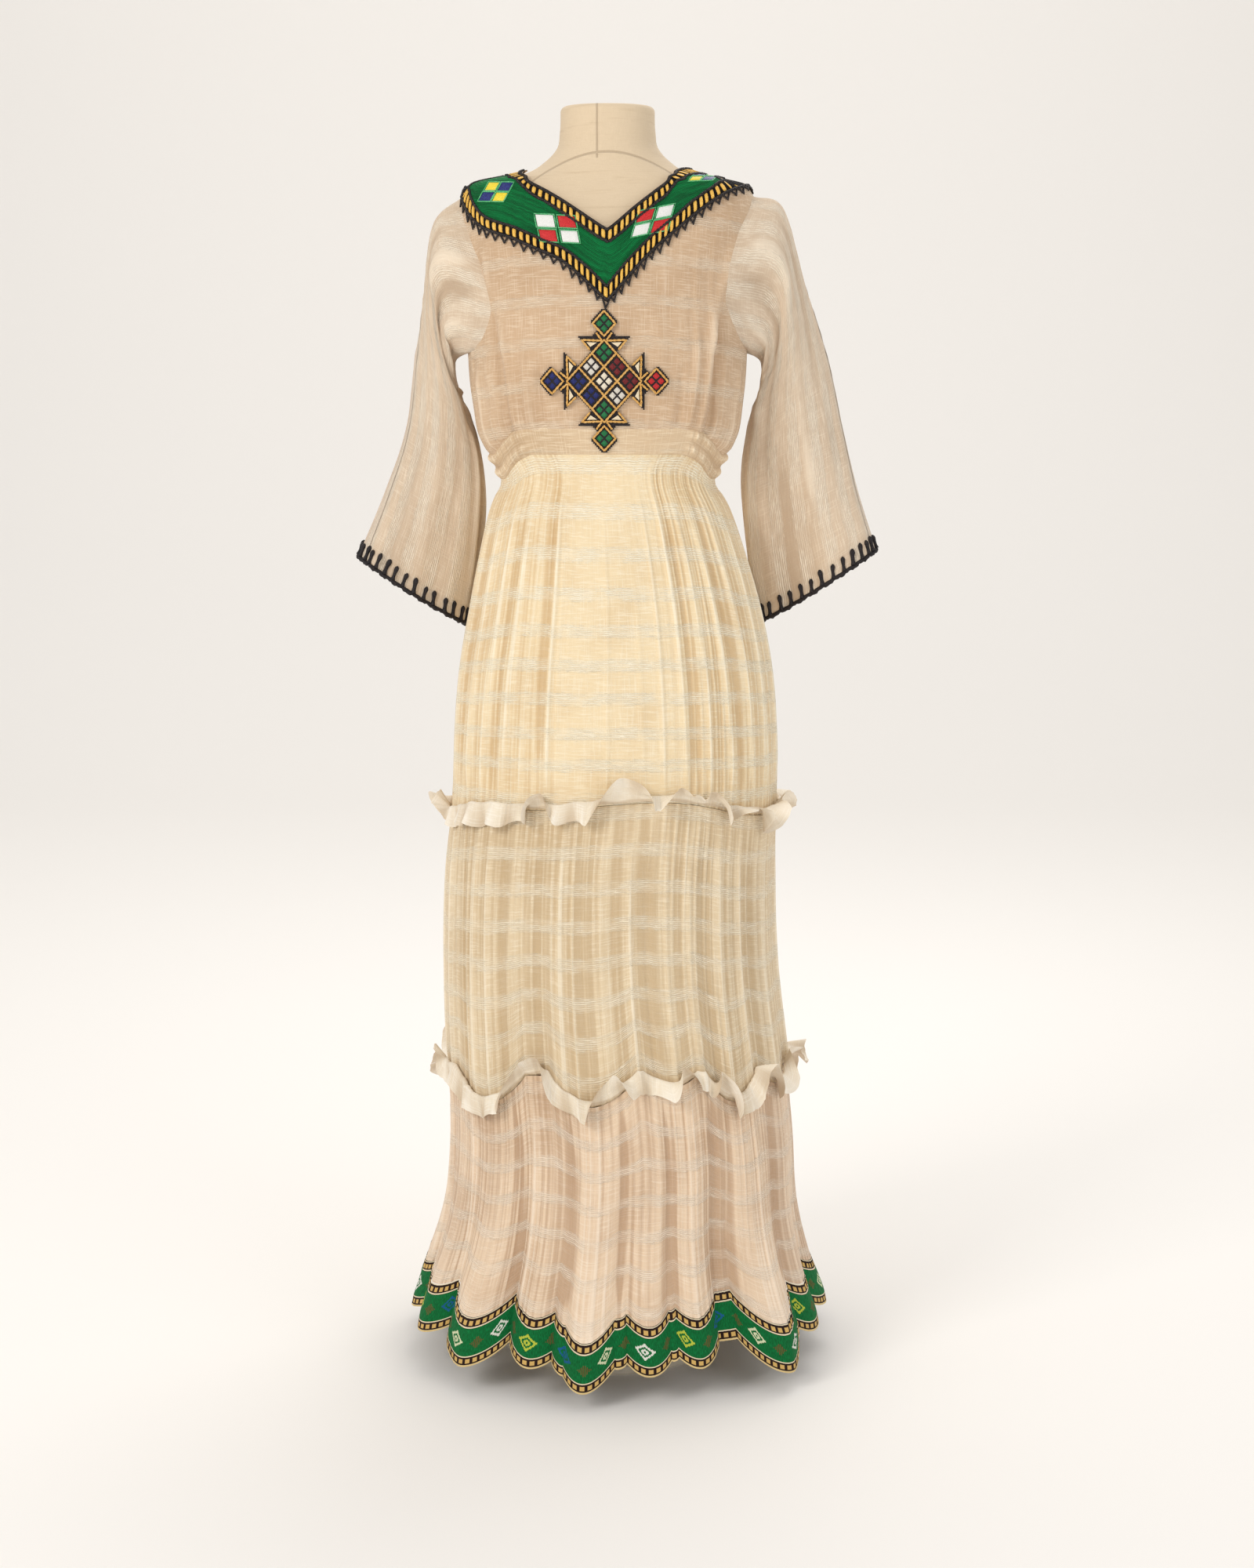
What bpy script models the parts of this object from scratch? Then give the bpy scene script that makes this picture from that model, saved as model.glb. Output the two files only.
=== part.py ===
"""Habesha kemis on a limbless dress form.

An ankle-length gauze dress: a bodice with a V neck and a thick embroidered
yoke, three-quarter bell sleeves, an elasticated waist casing, and a skirt of
three gathered tiers with ruffled headings and a woven border at the hem. It
hangs on a neck-and-torso form that stands on a pole and a round base.

Metres, +Z up. The front faces -Y. The origin is the centre of the base's
underside. Angles run round the body from the centre front (0), towards +X.
"""

import math

import bpy
import numpy as np

# Driving sizes
CLOTH = 0.0022            # wall of gauze with its thick weft bands
SEAM = 0.0005             # gap between two pieces that are sewn edge to edge
SEAM_RADIUS = {"bodice": 0.10, "casing": 0.13, "skirt": 0.20}    # of the body at each side seam
LIE = 0.0004              # gap under a piece that lies on another
ROUNDNESS = 0.90          # power on sine and cosine: under 1 gives a squarer oval

HALF_COLUMNS = 48         # steps across the front or the back of a skirt tier
BODICE_COLUMNS = 24       # steps across the front or the back of the bodice

WAIST_SIDE = 1.088        # height of the waist seam at the sides and back
WAIST_RISE = 0.031        # how much higher the seam runs at the centre front
WAIST_FLAT = 34.0         # degrees each side of centre front with no elastic
WAIST_BLEND = 8.0         # degrees over which the gathers start
WAIST_FALL = 40.0         # degrees over which the seam falls
CASING = 0.031            # height of the elastic casing
CASING_PUFF = 0.0022      # swell of its gathers
CASING_DIP = 0.0009       # depth between them

UNDERARM = 1.240          # lowest point of the armhole
SHOULDER_TIP = 1.4230     # highest point of the armhole
ARMHOLE_HALF = 37.0       # half of the armhole's width, in degrees round the body
ARMHOLE_TAPER = (1.10, 0.90)              # share of that at its foot and at its top
ARMHOLE_STEPS = 8
BODICE_LOW_STEPS = 3
YOKE_STEPS = 4
YOKE_THICK = 0.0022
CROSS_THICK = 0.0022

TIER_1_END = 0.711
TIER_2_END = 0.378
HEM = 0.066               # hem height in the valleys between its flutes
BORDER = 0.058            # woven border at the hem
FLUTE_START = 0.438       # flutes open out from here down to the hem
FLUTE_CURVE = 2.2         # higher keeps them closed for longer
FLUTE_SPREAD = 1.25       # a flute's foot, as a share of its half width
FLUTE_BLUNT = 0.85        # lower is a rounder crest
TIER_1_WAVE = (0.004, 5)  # rise and fall of the first tier's end, and how often round the body
SIDE_DROP = {1: 0.026, 2: 0.021}         # how much lower each tier ends at the sides
TIER_2_LIFT = 0.012       # how far the second tier's end is above its height between the sags

FRILL_HEIGHT = 0.027
FRILL_ROOT = 0.004        # height of a frill's stitching over the seam
FRILL_LEAN = 0.009        # how far its free edge leans out
FRILL_SWAY = {1: 0.0060, 2: 0.0075}      # in and out of its waves, in each frill
FRILL_LIFT = 0.004        # up and down of its free edge
FRILL_STEPS = 4           # steps across to one wave

POLE_RADIUS = 0.0125
BASE_RADIUS = 0.135
BASE_THICK = 0.014
FORM_END = 0.778


def table(names, rows):
    """A table with named columns, its first column the one it is read by."""
    return dict(zip(names.split(), np.array(rows, float).T))


def read(tab, name, at):
    """Smooth value of a column at one or many places of the first column."""
    key = next(iter(tab))
    xs, ys = tab[key], tab[name]
    if xs[0] > xs[-1]:
        xs, ys = xs[::-1], ys[::-1]
    slopes = np.gradient(ys, xs)
    at = np.clip(at, xs[0], xs[-1])
    i = np.clip(np.searchsorted(xs, at) - 1, 0, len(xs) - 2)
    step = xs[i + 1] - xs[i]
    t = (at - xs[i]) / step
    return ((1 + 2 * t) * (1 - t) ** 2 * ys[i] + t * (1 - t) ** 2 * step * slopes[i]
            + t * t * (3 - 2 * t) * ys[i + 1] + t * t * (t - 1) * step * slopes[i + 1])


FORM = table("height half_width front back", [
    (1.527, 0.056, 0.056, 0.056),
    (1.498, 0.057, 0.056, 0.056),
    (1.478, 0.061, 0.056, 0.058),
    (1.464, 0.074, 0.057, 0.062),
    (1.450, 0.097, 0.061, 0.066),
    (1.438, 0.141, 0.064, 0.070),
    (1.426, 0.159, 0.070, 0.077),
    (1.412, 0.168, 0.076, 0.084),
    (1.378, 0.169, 0.088, 0.098),
    (1.328, 0.164, 0.104, 0.105),
    (1.278, 0.157, 0.120, 0.104),
    (1.238, 0.151, 0.123, 0.100),
    (1.188, 0.141, 0.112, 0.094),
    (1.138, 0.128, 0.096, 0.088),
    (1.088, 0.121, 0.090, 0.086),
    (1.028, 0.134, 0.097, 0.094),
    (0.958, 0.152, 0.110, 0.112),
    (0.878, 0.160, 0.116, 0.122),
    (0.818, 0.160, 0.115, 0.120),
    (0.778, 0.156, 0.112, 0.116),
])

# The bodice and waist casing, worn: middle of the cloth wall
BODICE = table("height half_width front back", [
    (1.478, 0.0658, 0.0612, 0.0645),
    (1.464, 0.0798, 0.0618, 0.0675),
    (1.450, 0.1075, 0.0664, 0.0725),
    (1.438, 0.1600, 0.0718, 0.0787),
    (1.426, 0.1720, 0.0776, 0.0852),
    (1.412, 0.1760, 0.0842, 0.0917),
    (1.378, 0.1755, 0.0970, 0.1045),
    (1.328, 0.1705, 0.1125, 0.1125),
    (1.278, 0.1680, 0.1270, 0.1100),
    (1.238, 0.1680, 0.1300, 0.1080),
    (1.193, 0.1650, 0.1260, 0.1060),
    (1.148, 0.1560, 0.1160, 0.1020),
    (1.119, 0.1440, 0.1060, 0.0970),
    (1.088, 0.1300, 0.0980, 0.0930),
    (1.058, 0.1310, 0.0990, 0.0940),
])

# The neck edge and the outer edge of the yoke: height by angle from centre front
NECKLINE = table("angle inner outer", [
    (-180, 1.424, 1.370),
    (-140, 1.434, 1.382),
    (-110, 1.449, 1.415),
    (-90, 1.4545, 1.4330),
    (-74, 1.4512, 1.4130),
    (-57, 1.4474, 1.3850),
    (-35, 1.4400, 1.3660),
    (-25, 1.4305, 1.3540),
    (-16, 1.4170, 1.3420),
    (-8, 1.4005, 1.3215),
    (0, 1.381, 1.295),
    (8, 1.4060, 1.3275),
    (15, 1.4230, 1.3515),
    (25, 1.4400, 1.3780),
    (36, 1.4460, 1.4020),
    (50, 1.4515, 1.4210),
    (68, 1.4545, 1.4310),
    (90, 1.4545, 1.4330),
    (110, 1.449, 1.415),
    (140, 1.434, 1.382),
    (180, 1.424, 1.370),
])

# The skirt, middle of the cloth wall, before pleats and flutes
SKIRT = table("height half_width front back shift", [
    (1.119, 0.1310, 0.1000, 0.0950, 0.000),
    (1.088, 0.1300, 0.0990, 0.0950, 0.000),
    (1.053, 0.1450, 0.1080, 0.1050, 0.002),
    (1.003, 0.1600, 0.1190, 0.1170, 0.005),
    (0.938, 0.1760, 0.1310, 0.1310, 0.008),
    (0.858, 0.1910, 0.1430, 0.1430, 0.009),
    (0.778, 0.1975, 0.1500, 0.1500, 0.009),
    (0.711, 0.1990, 0.1540, 0.1540, 0.008),
    (0.618, 0.2005, 0.1610, 0.1610, 0.002),
    (0.498, 0.2040, 0.1700, 0.1700, 0.002),
    (0.378, 0.2100, 0.1790, 0.1790, 0.010),
    (0.278, 0.2115, 0.1840, 0.1840, 0.017),
    (0.178, 0.2170, 0.1920, 0.1920, 0.015),
    (0.108, 0.2330, 0.2060, 0.2060, 0.012),
    (0.066, 0.2440, 0.2150, 0.2150, 0.012),
    (0.018, 0.2510, 0.2200, 0.2200, 0.012),
])

# Flutes of the hem, by hand: angle, how far out, how far down, half width
FLUTES = table("angle out drop half", [
    (-158, 0.024, 0.026, 10),
    (-135, 0.030, 0.034, 11),
    (-110, 0.022, 0.020, 10),
    (-86, 0.014, 0.012, 9),
    (-65, 0.020, 0.016, 9),
    (-42, 0.028, 0.032, 10),
    (-21, 0.021, 0.022, 7),
    (-7, 0.034, 0.043, 7),
    (7, 0.022, 0.028, 6),
    (20, 0.020, 0.022, 6),
    (46, 0.034, 0.042, 10),
    (66, 0.018, 0.018, 8),
    (88, 0.016, 0.014, 9),
    (111, 0.025, 0.026, 10),
    (134, 0.022, 0.024, 9),
    (155, 0.032, 0.036, 10),
    (180, 0.026, 0.028, 9),
])

# Where the seam over the lowest tier sags between its folds
SAGS = table("angle drop half", [
    (-140, 0.026, 14),
    (-98, 0.018, 12),
    (-46, 0.034, 14),
    (-7, 0.038, 10),
    (16, 0.014, 7),
    (39, 0.032, 9),
    (66, 0.016, 10),
    (112, 0.028, 12),
    (158, 0.024, 14),
])

# Pleats of each tier: steps to one pleat, swell at its top, middle and end
PLEATS = {1: (3, 0.0010, 0.0030, 0.0016), 2: (2, 0.0012, 0.0028, 0.0016),
          3: (2, 0.0012, 0.0030, 0.0022)}
PLEAT_QUIET = 0.35        # share of the swell that is left at the centre front
QUIET_WIDTH = 24.0        # degrees each side of the centre front that are so
UNEVEN = 0.25             # how unequal the pleats and ruffle waves are

# Bell sleeve sections: the outer and the inner fold of a sleeve on the +X side
# and half of the thickness between them, then how far further out the outer
# fold hangs on the wearer's left and right, and how much higher on the left
SLEEVE = table("outer_x outer_y outer_z inner_x inner_y inner_z half left_out right_out left_up", [
    (0.2040, 0.004, 1.394, 0.1850, 0.012, 1.228, 0.053, 0.0060, 0.0040, 0.016),
    (0.2270, 0.010, 1.322, 0.1830, 0.022, 1.196, 0.050, 0.0100, -0.0060, 0.000),
    (0.2470, 0.014, 1.234, 0.1700, 0.038, 1.160, 0.046, 0.0185, -0.0160, 0.000),
    (0.2650, 0.012, 1.146, 0.1600, 0.056, 1.090, 0.044, 0.0200, -0.0230, 0.000),
    (0.2850, 0.004, 1.066, 0.1680, 0.076, 1.002, 0.043, 0.0170, -0.0180, 0.005),
    (0.3110, -0.008, 0.990, 0.1870, 0.096, 0.912, 0.043, 0.0110, -0.0150, 0.011),
])
INNER_SHARE = {"left": 0.5, "right": 0.3}   # share of that swing which the inner fold takes
SLEEVE_INSET = 0.0011     # how far a sleeve's first ring is inside the armhole's edge
ARMHOLE_RINGS = 2         # sections that still face straight out, as the armhole does
CUFF_CORD = 0.006         # height of the stitched edging


def oval(half_width, front, back, angle):
    """Point and outward direction on a squared oval, by angle in degrees."""
    a = np.radians(angle)
    s, c = np.sin(a), np.cos(a)
    depth = np.where(c > 0, front, back)
    x = half_width * np.sign(s) * np.abs(s) ** ROUNDNESS
    y = -depth * np.sign(c) * np.abs(c) ** ROUNDNESS
    out = np.stack([s * depth, -c * half_width, 0 * s], -1)
    return x, y, out / np.linalg.norm(out, axis=-1, keepdims=True)


def bumps(tab, name, angle):
    """Sum of the soft bumps that a table places round the body."""
    total = np.zeros_like(np.asarray(angle, float))
    for centre, height, half in zip(tab["angle"], tab[name], tab["half"]):
        away = np.abs((angle - centre + 180) % 360 - 180) / (FLUTE_SPREAD * half)
        total += height * np.cos(np.minimum(away, 1) * math.pi / 2) ** FLUTE_BLUNT
    return total


def material(name, colour, roughness):
    mat = bpy.data.materials.new(name)
    mat.use_nodes = True
    shader = mat.node_tree.nodes["Principled BSDF"]
    shader.inputs["Base Color"].default_value = (*colour, 1)
    shader.inputs["Roughness"].default_value = roughness
    shader.inputs["Metallic"].default_value = 0.0
    mat.diffuse_color = (*colour, 1)
    return mat


def add_mesh(name, points, faces, mat):
    mesh = bpy.data.meshes.new(name)
    mesh.from_pydata([tuple(p) for p in points], [], faces)
    mesh.validate()
    mesh.shade_smooth()
    mesh.set_sharp_from_angle(angle=math.radians(50))
    mesh.materials.append(mat)
    obj = bpy.data.objects.new(name, mesh)
    bpy.context.scene.collection.objects.link(obj)
    return obj


def wall(name, inner, outer, mat, tube=False):
    """One closed wall between two grids of points (rows, columns, 3).

    Rows run down and columns run towards +X as seen from outside. A tube
    joins its last column to its first."""
    rows, cols = inner.shape[:2]
    spans = cols if tube else cols - 1
    points = np.concatenate([outer.reshape(-1, 3), inner.reshape(-1, 3)])
    under = rows * cols
    faces = []

    def at(row, col):
        return row * cols + col % cols

    def strip(a, b, c, d):
        faces.append((a, b, c))
        faces.append((a, c, d))

    for i in range(rows - 1):
        for j in range(spans):
            a, b, c, d = at(i, j), at(i + 1, j), at(i + 1, j + 1), at(i, j + 1)
            strip(a, b, c, d)
            faces.append((under + a, under + c, under + b))
            faces.append((under + a, under + d, under + c))
    for j in range(spans):
        a, b = at(0, j), at(0, j + 1)
        strip(a, b, under + b, under + a)
        a, b = at(rows - 1, j + 1), at(rows - 1, j)
        strip(a, b, under + b, under + a)
    if not tube:
        for i in range(rows - 1):
            a, b = at(i + 1, 0), at(i, 0)
            strip(a, b, under + b, under + a)
            a, b = at(i, cols - 1), at(i + 1, cols - 1)
            strip(a, b, under + b, under + a)
    return add_mesh(name, points, faces, mat)


# Stand: a round base, a pole and the padded torso that carries the dress
def turned(name, profile, sides, mat):
    """Closed round solid from (radius, height) pairs, bottom to top."""
    points = []
    for radius, height in profile:
        for k in range(sides):
            turn = 2 * math.pi * k / sides
            points.append((radius * math.cos(turn), radius * math.sin(turn), height))
    faces = [tuple(reversed(range(sides)))]
    for i in range(len(profile) - 1):
        for k in range(sides):
            a, b = i * sides + k, i * sides + (k + 1) % sides
            faces.append((a, b, b + sides, a + sides))
    last = (len(profile) - 1) * sides
    faces.append(tuple(range(last, last + sides)))
    return add_mesh(name, points, faces, mat)


def build_stand(metal):
    edge = 0.003
    turned("form_base", [(BASE_RADIUS - edge, 0), (BASE_RADIUS, edge), (BASE_RADIUS, BASE_THICK - edge),
                         (BASE_RADIUS - edge, BASE_THICK)], 40, metal)
    turned("form_pole", [(POLE_RADIUS, BASE_THICK + LIE), (POLE_RADIUS, FORM_END - LIE)], 16, metal)


def build_form(linen):
    """The torso as stacked ovals with a flat cap on the neck and below the hips."""
    sides = 32
    heights = sorted(FORM["height"])
    points = []
    angles = np.arange(sides) * 360.0 / sides
    for z in heights:
        x, y, _ = oval(read(FORM, "half_width", z), read(FORM, "front", z), read(FORM, "back", z), angles)
        points += list(zip(x, y, np.full(sides, z)))
    faces = [tuple(reversed(range(sides)))]
    for i in range(len(heights) - 1):
        for k in range(sides):
            a, b = i * sides + k, i * sides + (k + 1) % sides
            faces.append((a, b, b + sides, a + sides))
    last = (len(heights) - 1) * sides
    faces.append(tuple(range(last, last + sides)))
    add_mesh("form_torso", points, faces, linen)


def waist_seam(angle):
    """Height of the waist seam: level over the flat centre front, then falling."""
    away = np.abs((angle + 180) % 360 - 180)
    t = np.clip((away - WAIST_FLAT) / WAIST_FALL, 0, 1)
    return WAIST_SIDE + WAIST_RISE * (1 - t * t * (3 - 2 * t))


def on_bodice(angle, z):
    """Point on the middle of the bodice cloth, and its outward direction."""
    size = [read(BODICE, name, z) for name in ("half_width", "front", "back")]
    x, y, out = oval(*size, angle)
    return np.stack([x, y, z + 0 * x], -1), out


def grid_normals(grid, guide):
    """Directions square to a grid of points, on the guide's side of it."""
    down = np.gradient(grid, axis=0)
    along = np.gradient(grid, axis=1)
    square = np.cross(down, along)
    square /= np.linalg.norm(square, axis=-1, keepdims=True)
    side = np.sign(np.sum(square * guide, axis=-1, keepdims=True))
    return square * np.where(side == 0, 1, side)


def row_heights():
    """Side heights of the bodice's rows, from the neck edge down to the casing."""
    neck, outer = NECKLINE["inner"], NECKLINE["outer"]
    at_side = list(NECKLINE["angle"]).index(90)
    low = WAIST_SIDE + CASING
    return np.concatenate([
        np.linspace(neck[at_side], outer[at_side], YOKE_STEPS + 1)[:-1],
        [outer[at_side]],
        UNDERARM + (SHOULDER_TIP - UNDERARM) * (0.5 + 0.5 * np.cos(
            np.pi * np.arange(ARMHOLE_STEPS + 1) / ARMHOLE_STEPS)),
        np.linspace(UNDERARM, low, BODICE_LOW_STEPS + 1)[1:],
    ])


def armhole_half(z):
    """Half width of the armhole in degrees at a height, nothing outside it."""
    t = (z - UNDERARM) / (SHOULDER_TIP - UNDERARM)
    foot, top = ARMHOLE_TAPER
    return ARMHOLE_HALF * np.sqrt(np.clip(1 - (2 * t - 1) ** 2, 0, 1)) * (foot + (top - foot) * t)


def half_seam(place):
    """Half of the gap at a side seam, in degrees round the body there."""
    return math.degrees(SEAM / 2 / SEAM_RADIUS[place])


def half_turned(angle):
    """The angle as one from -180 to 180."""
    return (angle + 180) % 360 - 180


def bodice_grid(back):
    """Middle of the front or back bodice cloth and its outward directions."""
    sides = row_heights()
    seam_angle = half_seam("bodice")
    steps = np.linspace(-1, 1, BODICE_COLUMNS + 1)
    rows, guides = [], []
    for k, side in enumerate(sides):
        reach = 90 - max(armhole_half(side), seam_angle)
        turn = steps * reach
        angle = half_turned(180 - turn if back else turn)
        inner, outer = read(NECKLINE, "inner", angle), read(NECKLINE, "outer", angle)
        side_inner, side_outer = sides[0], sides[YOKE_STEPS]
        if k <= YOKE_STEPS:
            z = inner + (outer - inner) * (side_inner - side) / (side_inner - side_outer)
        else:
            foot = waist_seam(angle) + CASING
            share = (side_outer - side) / (side_outer - sides[-1])
            z = outer + (foot - outer) * share
        points, out = on_bodice(angle, z)
        rows.append(points)
        guides.append(out)
    grid, guide = np.array(rows), np.array(guides)
    if back:
        grid, guide = grid[:, ::-1], guide[:, ::-1]
    return grid, grid_normals(grid, guide)


def build_bodice(gauze, green):
    panels = {}
    for part, back in (("front", False), ("back", True)):
        grid, square = bodice_grid(back)
        grid[-1, :, 2] += SEAM
        wall("bodice_" + part, grid - square * CLOTH / 2, grid + square * CLOTH / 2, gauze)
        band, up = grid[:YOKE_STEPS + 1], square[:YOKE_STEPS + 1]
        base = band + up * (CLOTH / 2 + LIE)
        wall("neck_yoke_" + part, base, base + up * YOKE_THICK, green)
        panels[part] = (grid, square)
    return panels


def build_casing(gauze):
    """Waist casing: flat at the centre front, gathered by its elastic elsewhere."""
    for part, back in (("front", False), ("back", True)):
        turn = np.linspace(-1, 1, BODICE_COLUMNS + 1) * (90 - half_seam("casing"))
        angle = 180 + turn if back else turn
        puffs = np.where(np.arange(BODICE_COLUMNS + 1) % 2 == 0, CASING_PUFF, -CASING_DIP)
        away = np.abs((angle + 180) % 360 - 180)
        loose = np.clip((away - WAIST_FLAT) / WAIST_BLEND, 0, 1)
        rows, outs = [], []
        for share, swell in ((1.0, 0.0), (0.5, 1.0), (0.0, 0.0)):
            z = waist_seam(angle) + CASING * share + SEAM * (0.5 - share)
            points, out = on_bodice(angle, z)
            rows.append(points + out * (swell * loose * puffs)[:, None])
            outs.append(out)
        grid, out = np.array(rows), np.array(outs)
        wall("waist_casing_" + part, grid - out * CLOTH / 2, grid + out * CLOTH / 2, gauze)


def uneven_wave(steps, seed):
    """A wave along the columns of half the skirt, its waves of unequal height."""
    column = np.arange(HALF_COLUMNS + 1)
    height = 1 - UNEVEN + UNEVEN * np.sin(1.7 * column + seed)
    return np.cos(2 * math.pi * column / steps) * height


def skirt_grid(back, top, end, tier, rows):
    """Middle of half a skirt tier between two seams, each a height by angle."""
    turn = np.linspace(-1, 1, HALF_COLUMNS + 1) * (90 - half_seam("skirt"))
    angle = half_turned(180 + turn if back else turn)
    step_count, at_top, at_middle, at_end = PLEATS[tier]
    wave = uneven_wave(step_count, tier)
    quiet = 1 - (1 - PLEAT_QUIET) * np.exp(-(angle / QUIET_WIDTH) ** 2) if tier == 1 else 1
    points, outs = [], []
    for v in np.linspace(0, 1, rows + 1):
        z = top(angle) * (1 - v) + end(angle) * v
        swell = np.interp(v, [0, 0.5, 1], [at_top, at_middle, at_end])
        points.append(skirt_row(angle, z, wave * swell * quiet))
        outs.append(skirt_out(angle, z))
    return np.array(points), np.array(outs)


def skirt_out(angle, z):
    size = [read(SKIRT, name, z) for name in ("half_width", "front", "back")]
    return oval(*size, angle)[2]


def flute_share(z):
    """How far the hem's flutes have opened at a height, from 0 to 1."""
    t = np.clip((FLUTE_START - z) / (FLUTE_START - HEM), 0, 1)
    return t ** FLUTE_CURVE


def skirt_row(angle, z, swell):
    """One row of the skirt, on its oval with the flutes and pleats added."""
    size = [read(SKIRT, name, z) for name in ("half_width", "front", "back")]
    x, y, out = oval(*size, angle)
    reach = bumps(FLUTES, "out", angle) * flute_share(z) + swell
    row = np.stack([x + read(SKIRT, "shift", z), y, z + 0 * x], -1)
    return row + out * reach[:, None]


def side_drop(tier, angle):
    return SIDE_DROP[tier] * np.sin(np.radians(angle)) ** 2


def tier_1_end(angle):
    rise, times = TIER_1_WAVE
    return TIER_1_END + rise * np.sin(np.radians(times * angle)) - side_drop(1, angle)


def tier_2_end(angle):
    return TIER_2_END + TIER_2_LIFT - bumps(SAGS, "drop", angle) - side_drop(2, angle)


def hem_end(angle):
    return HEM - bumps(FLUTES, "drop", angle)


def border_top(angle):
    return hem_end(angle) + BORDER


def below(seam):
    return lambda angle: seam(angle) - SEAM


def build_skirt(gauze, green):
    for part, back in (("front", False), ("back", True)):
        for tier, top, end, rows in ((1, below(waist_seam), tier_1_end, 3),
                                     (2, below(tier_1_end), tier_2_end, 3),
                                     (3, below(tier_2_end), border_top, 4)):
            grid, out = skirt_grid(back, top, end, tier, rows)
            wall("skirt_tier_%d_%s" % (tier, part), grid - out * CLOTH / 2, grid + out * CLOTH / 2, gauze)
        grid, out = skirt_grid(back, below(border_top), hem_end, 3, 1)
        wall("hem_border_" + part, grid - out * CLOTH / 2, grid + out * CLOTH / 2, green)


def build_frills(white):
    """Ruffled headings over the two lower seams, rooted on the tier above."""
    for number, seam in ((1, tier_1_end), (2, tier_2_end)):
        for part, back in (("front", False), ("back", True)):
            turn = np.linspace(-1, 1, HALF_COLUMNS + 1) * (90 - half_seam("skirt"))
            angle = 180 + turn if back else turn
            angle = (angle + 180) % 360 - 180
            wave = uneven_wave(FRILL_STEPS, number)
            points, outs = [], []
            for share in (1.0, 0.5, 0.0):
                z = seam(angle) + FRILL_ROOT + (FRILL_HEIGHT + FRILL_LIFT * wave) * share
                lean = (FRILL_LEAN + FRILL_SWAY[number] * wave) * share
                stand = CLOTH + LIE + PLEATS[number][3] + lean
                points.append(skirt_row(angle, z, stand))
                outs.append(skirt_out(angle, z))
            grid, out = np.array(points), np.array(outs)
            wall("frill_%d_%s" % (number, part), grid - out * CLOTH / 2, grid + out * CLOTH / 2, white)


# Sleeves start on the armhole's edge and widen to a slanted bell
def armhole_loop(panels, side):
    """Edge of the armhole on one side, from the top, down the front and up the
    back, with the outward directions and the way into the hole."""
    first = YOKE_STEPS + 1
    last = first + ARMHOLE_STEPS
    front_edge, back_edge = (-1, 0) if side > 0 else (0, -1)
    front, front_out = (g[first:last + 1, front_edge] for g in panels["front"])
    back, back_out = (g[first:last + 1, back_edge] for g in panels["back"])
    loop = np.concatenate([[(front[0] + back[0]) / 2], front[1:-1], [(front[-1] + back[-1]) / 2],
                           back[-2:0:-1]])
    outs = np.concatenate([[(front_out[0] + back_out[0]) / 2], front_out[1:-1],
                           [(front_out[-1] + back_out[-1]) / 2], back_out[-2:0:-1]])
    return loop, outs / np.linalg.norm(outs, axis=-1, keepdims=True)


def doubled(ring):
    """The ring with a point added halfway along each of its sides."""
    between = (ring + np.roll(ring, -1, axis=0)) / 2
    return np.stack([ring, between], 1).reshape(-1, 3)


def build_sleeve(panels, side, gauze, black):
    name = "left" if side > 0 else "right"
    loop, outs = armhole_loop(panels, side)
    centre = loop.mean(axis=0)
    inward = centre - loop
    inward -= outs * np.sum(inward * outs, axis=-1, keepdims=True)
    inward /= np.linalg.norm(inward, axis=-1, keepdims=True)
    start = doubled(loop + inward * SLEEVE_INSET)
    start_out = doubled(outs)
    start_out /= np.linalg.norm(start_out, axis=-1, keepdims=True)
    count = len(start)
    turn = 2 * math.pi * np.arange(count) / count
    rings = [start]
    for k, half in enumerate(SLEEVE["half"]):
        outer = np.array([SLEEVE["outer_" + axis][k] for axis in "xyz"])
        inner = np.array([SLEEVE["inner_" + axis][k] for axis in "xyz"])
        swing = SLEEVE[name + "_out"][k]
        outer[0] = (outer[0] + swing) * side
        inner[0] = (inner[0] + swing * INNER_SHARE[name] * k / len(SLEEVE["half"])) * side
        if name == "left":
            outer[2] += SLEEVE["left_up"][k]
        middle, arm = (outer + inner) / 2, (outer - inner) / 2
        flat = np.array([arm[0], arm[1], 0.0])
        if k < ARMHOLE_RINGS:
            flat = np.array([side, 0.0, 0.0])
        forward = np.cross(flat, (0, 0, 1.0)) * side
        forward /= np.linalg.norm(forward)
        forward[2] = forward[0] / arm[0] * arm[2]
        rings.append(middle + np.cos(turn)[:, None] * arm + np.sin(turn)[:, None] * forward * half)
    grid = np.array(rings)
    if side > 0:
        grid, start_out = grid[:, ::-1], start_out[::-1]
    middles = grid.mean(axis=1, keepdims=True)
    down = np.gradient(grid, axis=0)
    along = (np.roll(grid, -1, axis=1) - np.roll(grid, 1, axis=1)) / 2
    square = np.cross(down, along)
    square /= np.linalg.norm(square, axis=-1, keepdims=True)
    away = np.sign(np.sum(square * (grid - middles), axis=-1, keepdims=True))
    square *= np.where(away == 0, 1, away)
    square[0] = start_out
    wall("sleeve_" + name, grid - square * CLOTH / 2, grid + square * CLOTH / 2, gauze, tube=True)
    fall = grid[-1] - grid[-2]
    fall /= np.linalg.norm(fall, axis=-1, keepdims=True)
    edge = np.array([grid[-1] + fall * SEAM, grid[-1] + fall * (SEAM + CUFF_CORD)])
    out = np.array([square[-1], square[-1]])
    wall("cuff_edging_" + name, edge - out * CLOTH / 2, edge + out * CLOTH / 2, black, tube=True)


# Cross on the chest: a plate of lattice triangles laid on the bodice
CROSS_CENTRE = (-0.0035, 1.2045)  # x and height of its middle
CROSS_STEP = (0.00745, 0.00825)   # one step across and one step up
CROSS_LATTICE = 6                 # steps from the middle to a corner of the lattice
CROSS_TIP = 10                    # steps from the middle to the tip of an end diamond


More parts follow.
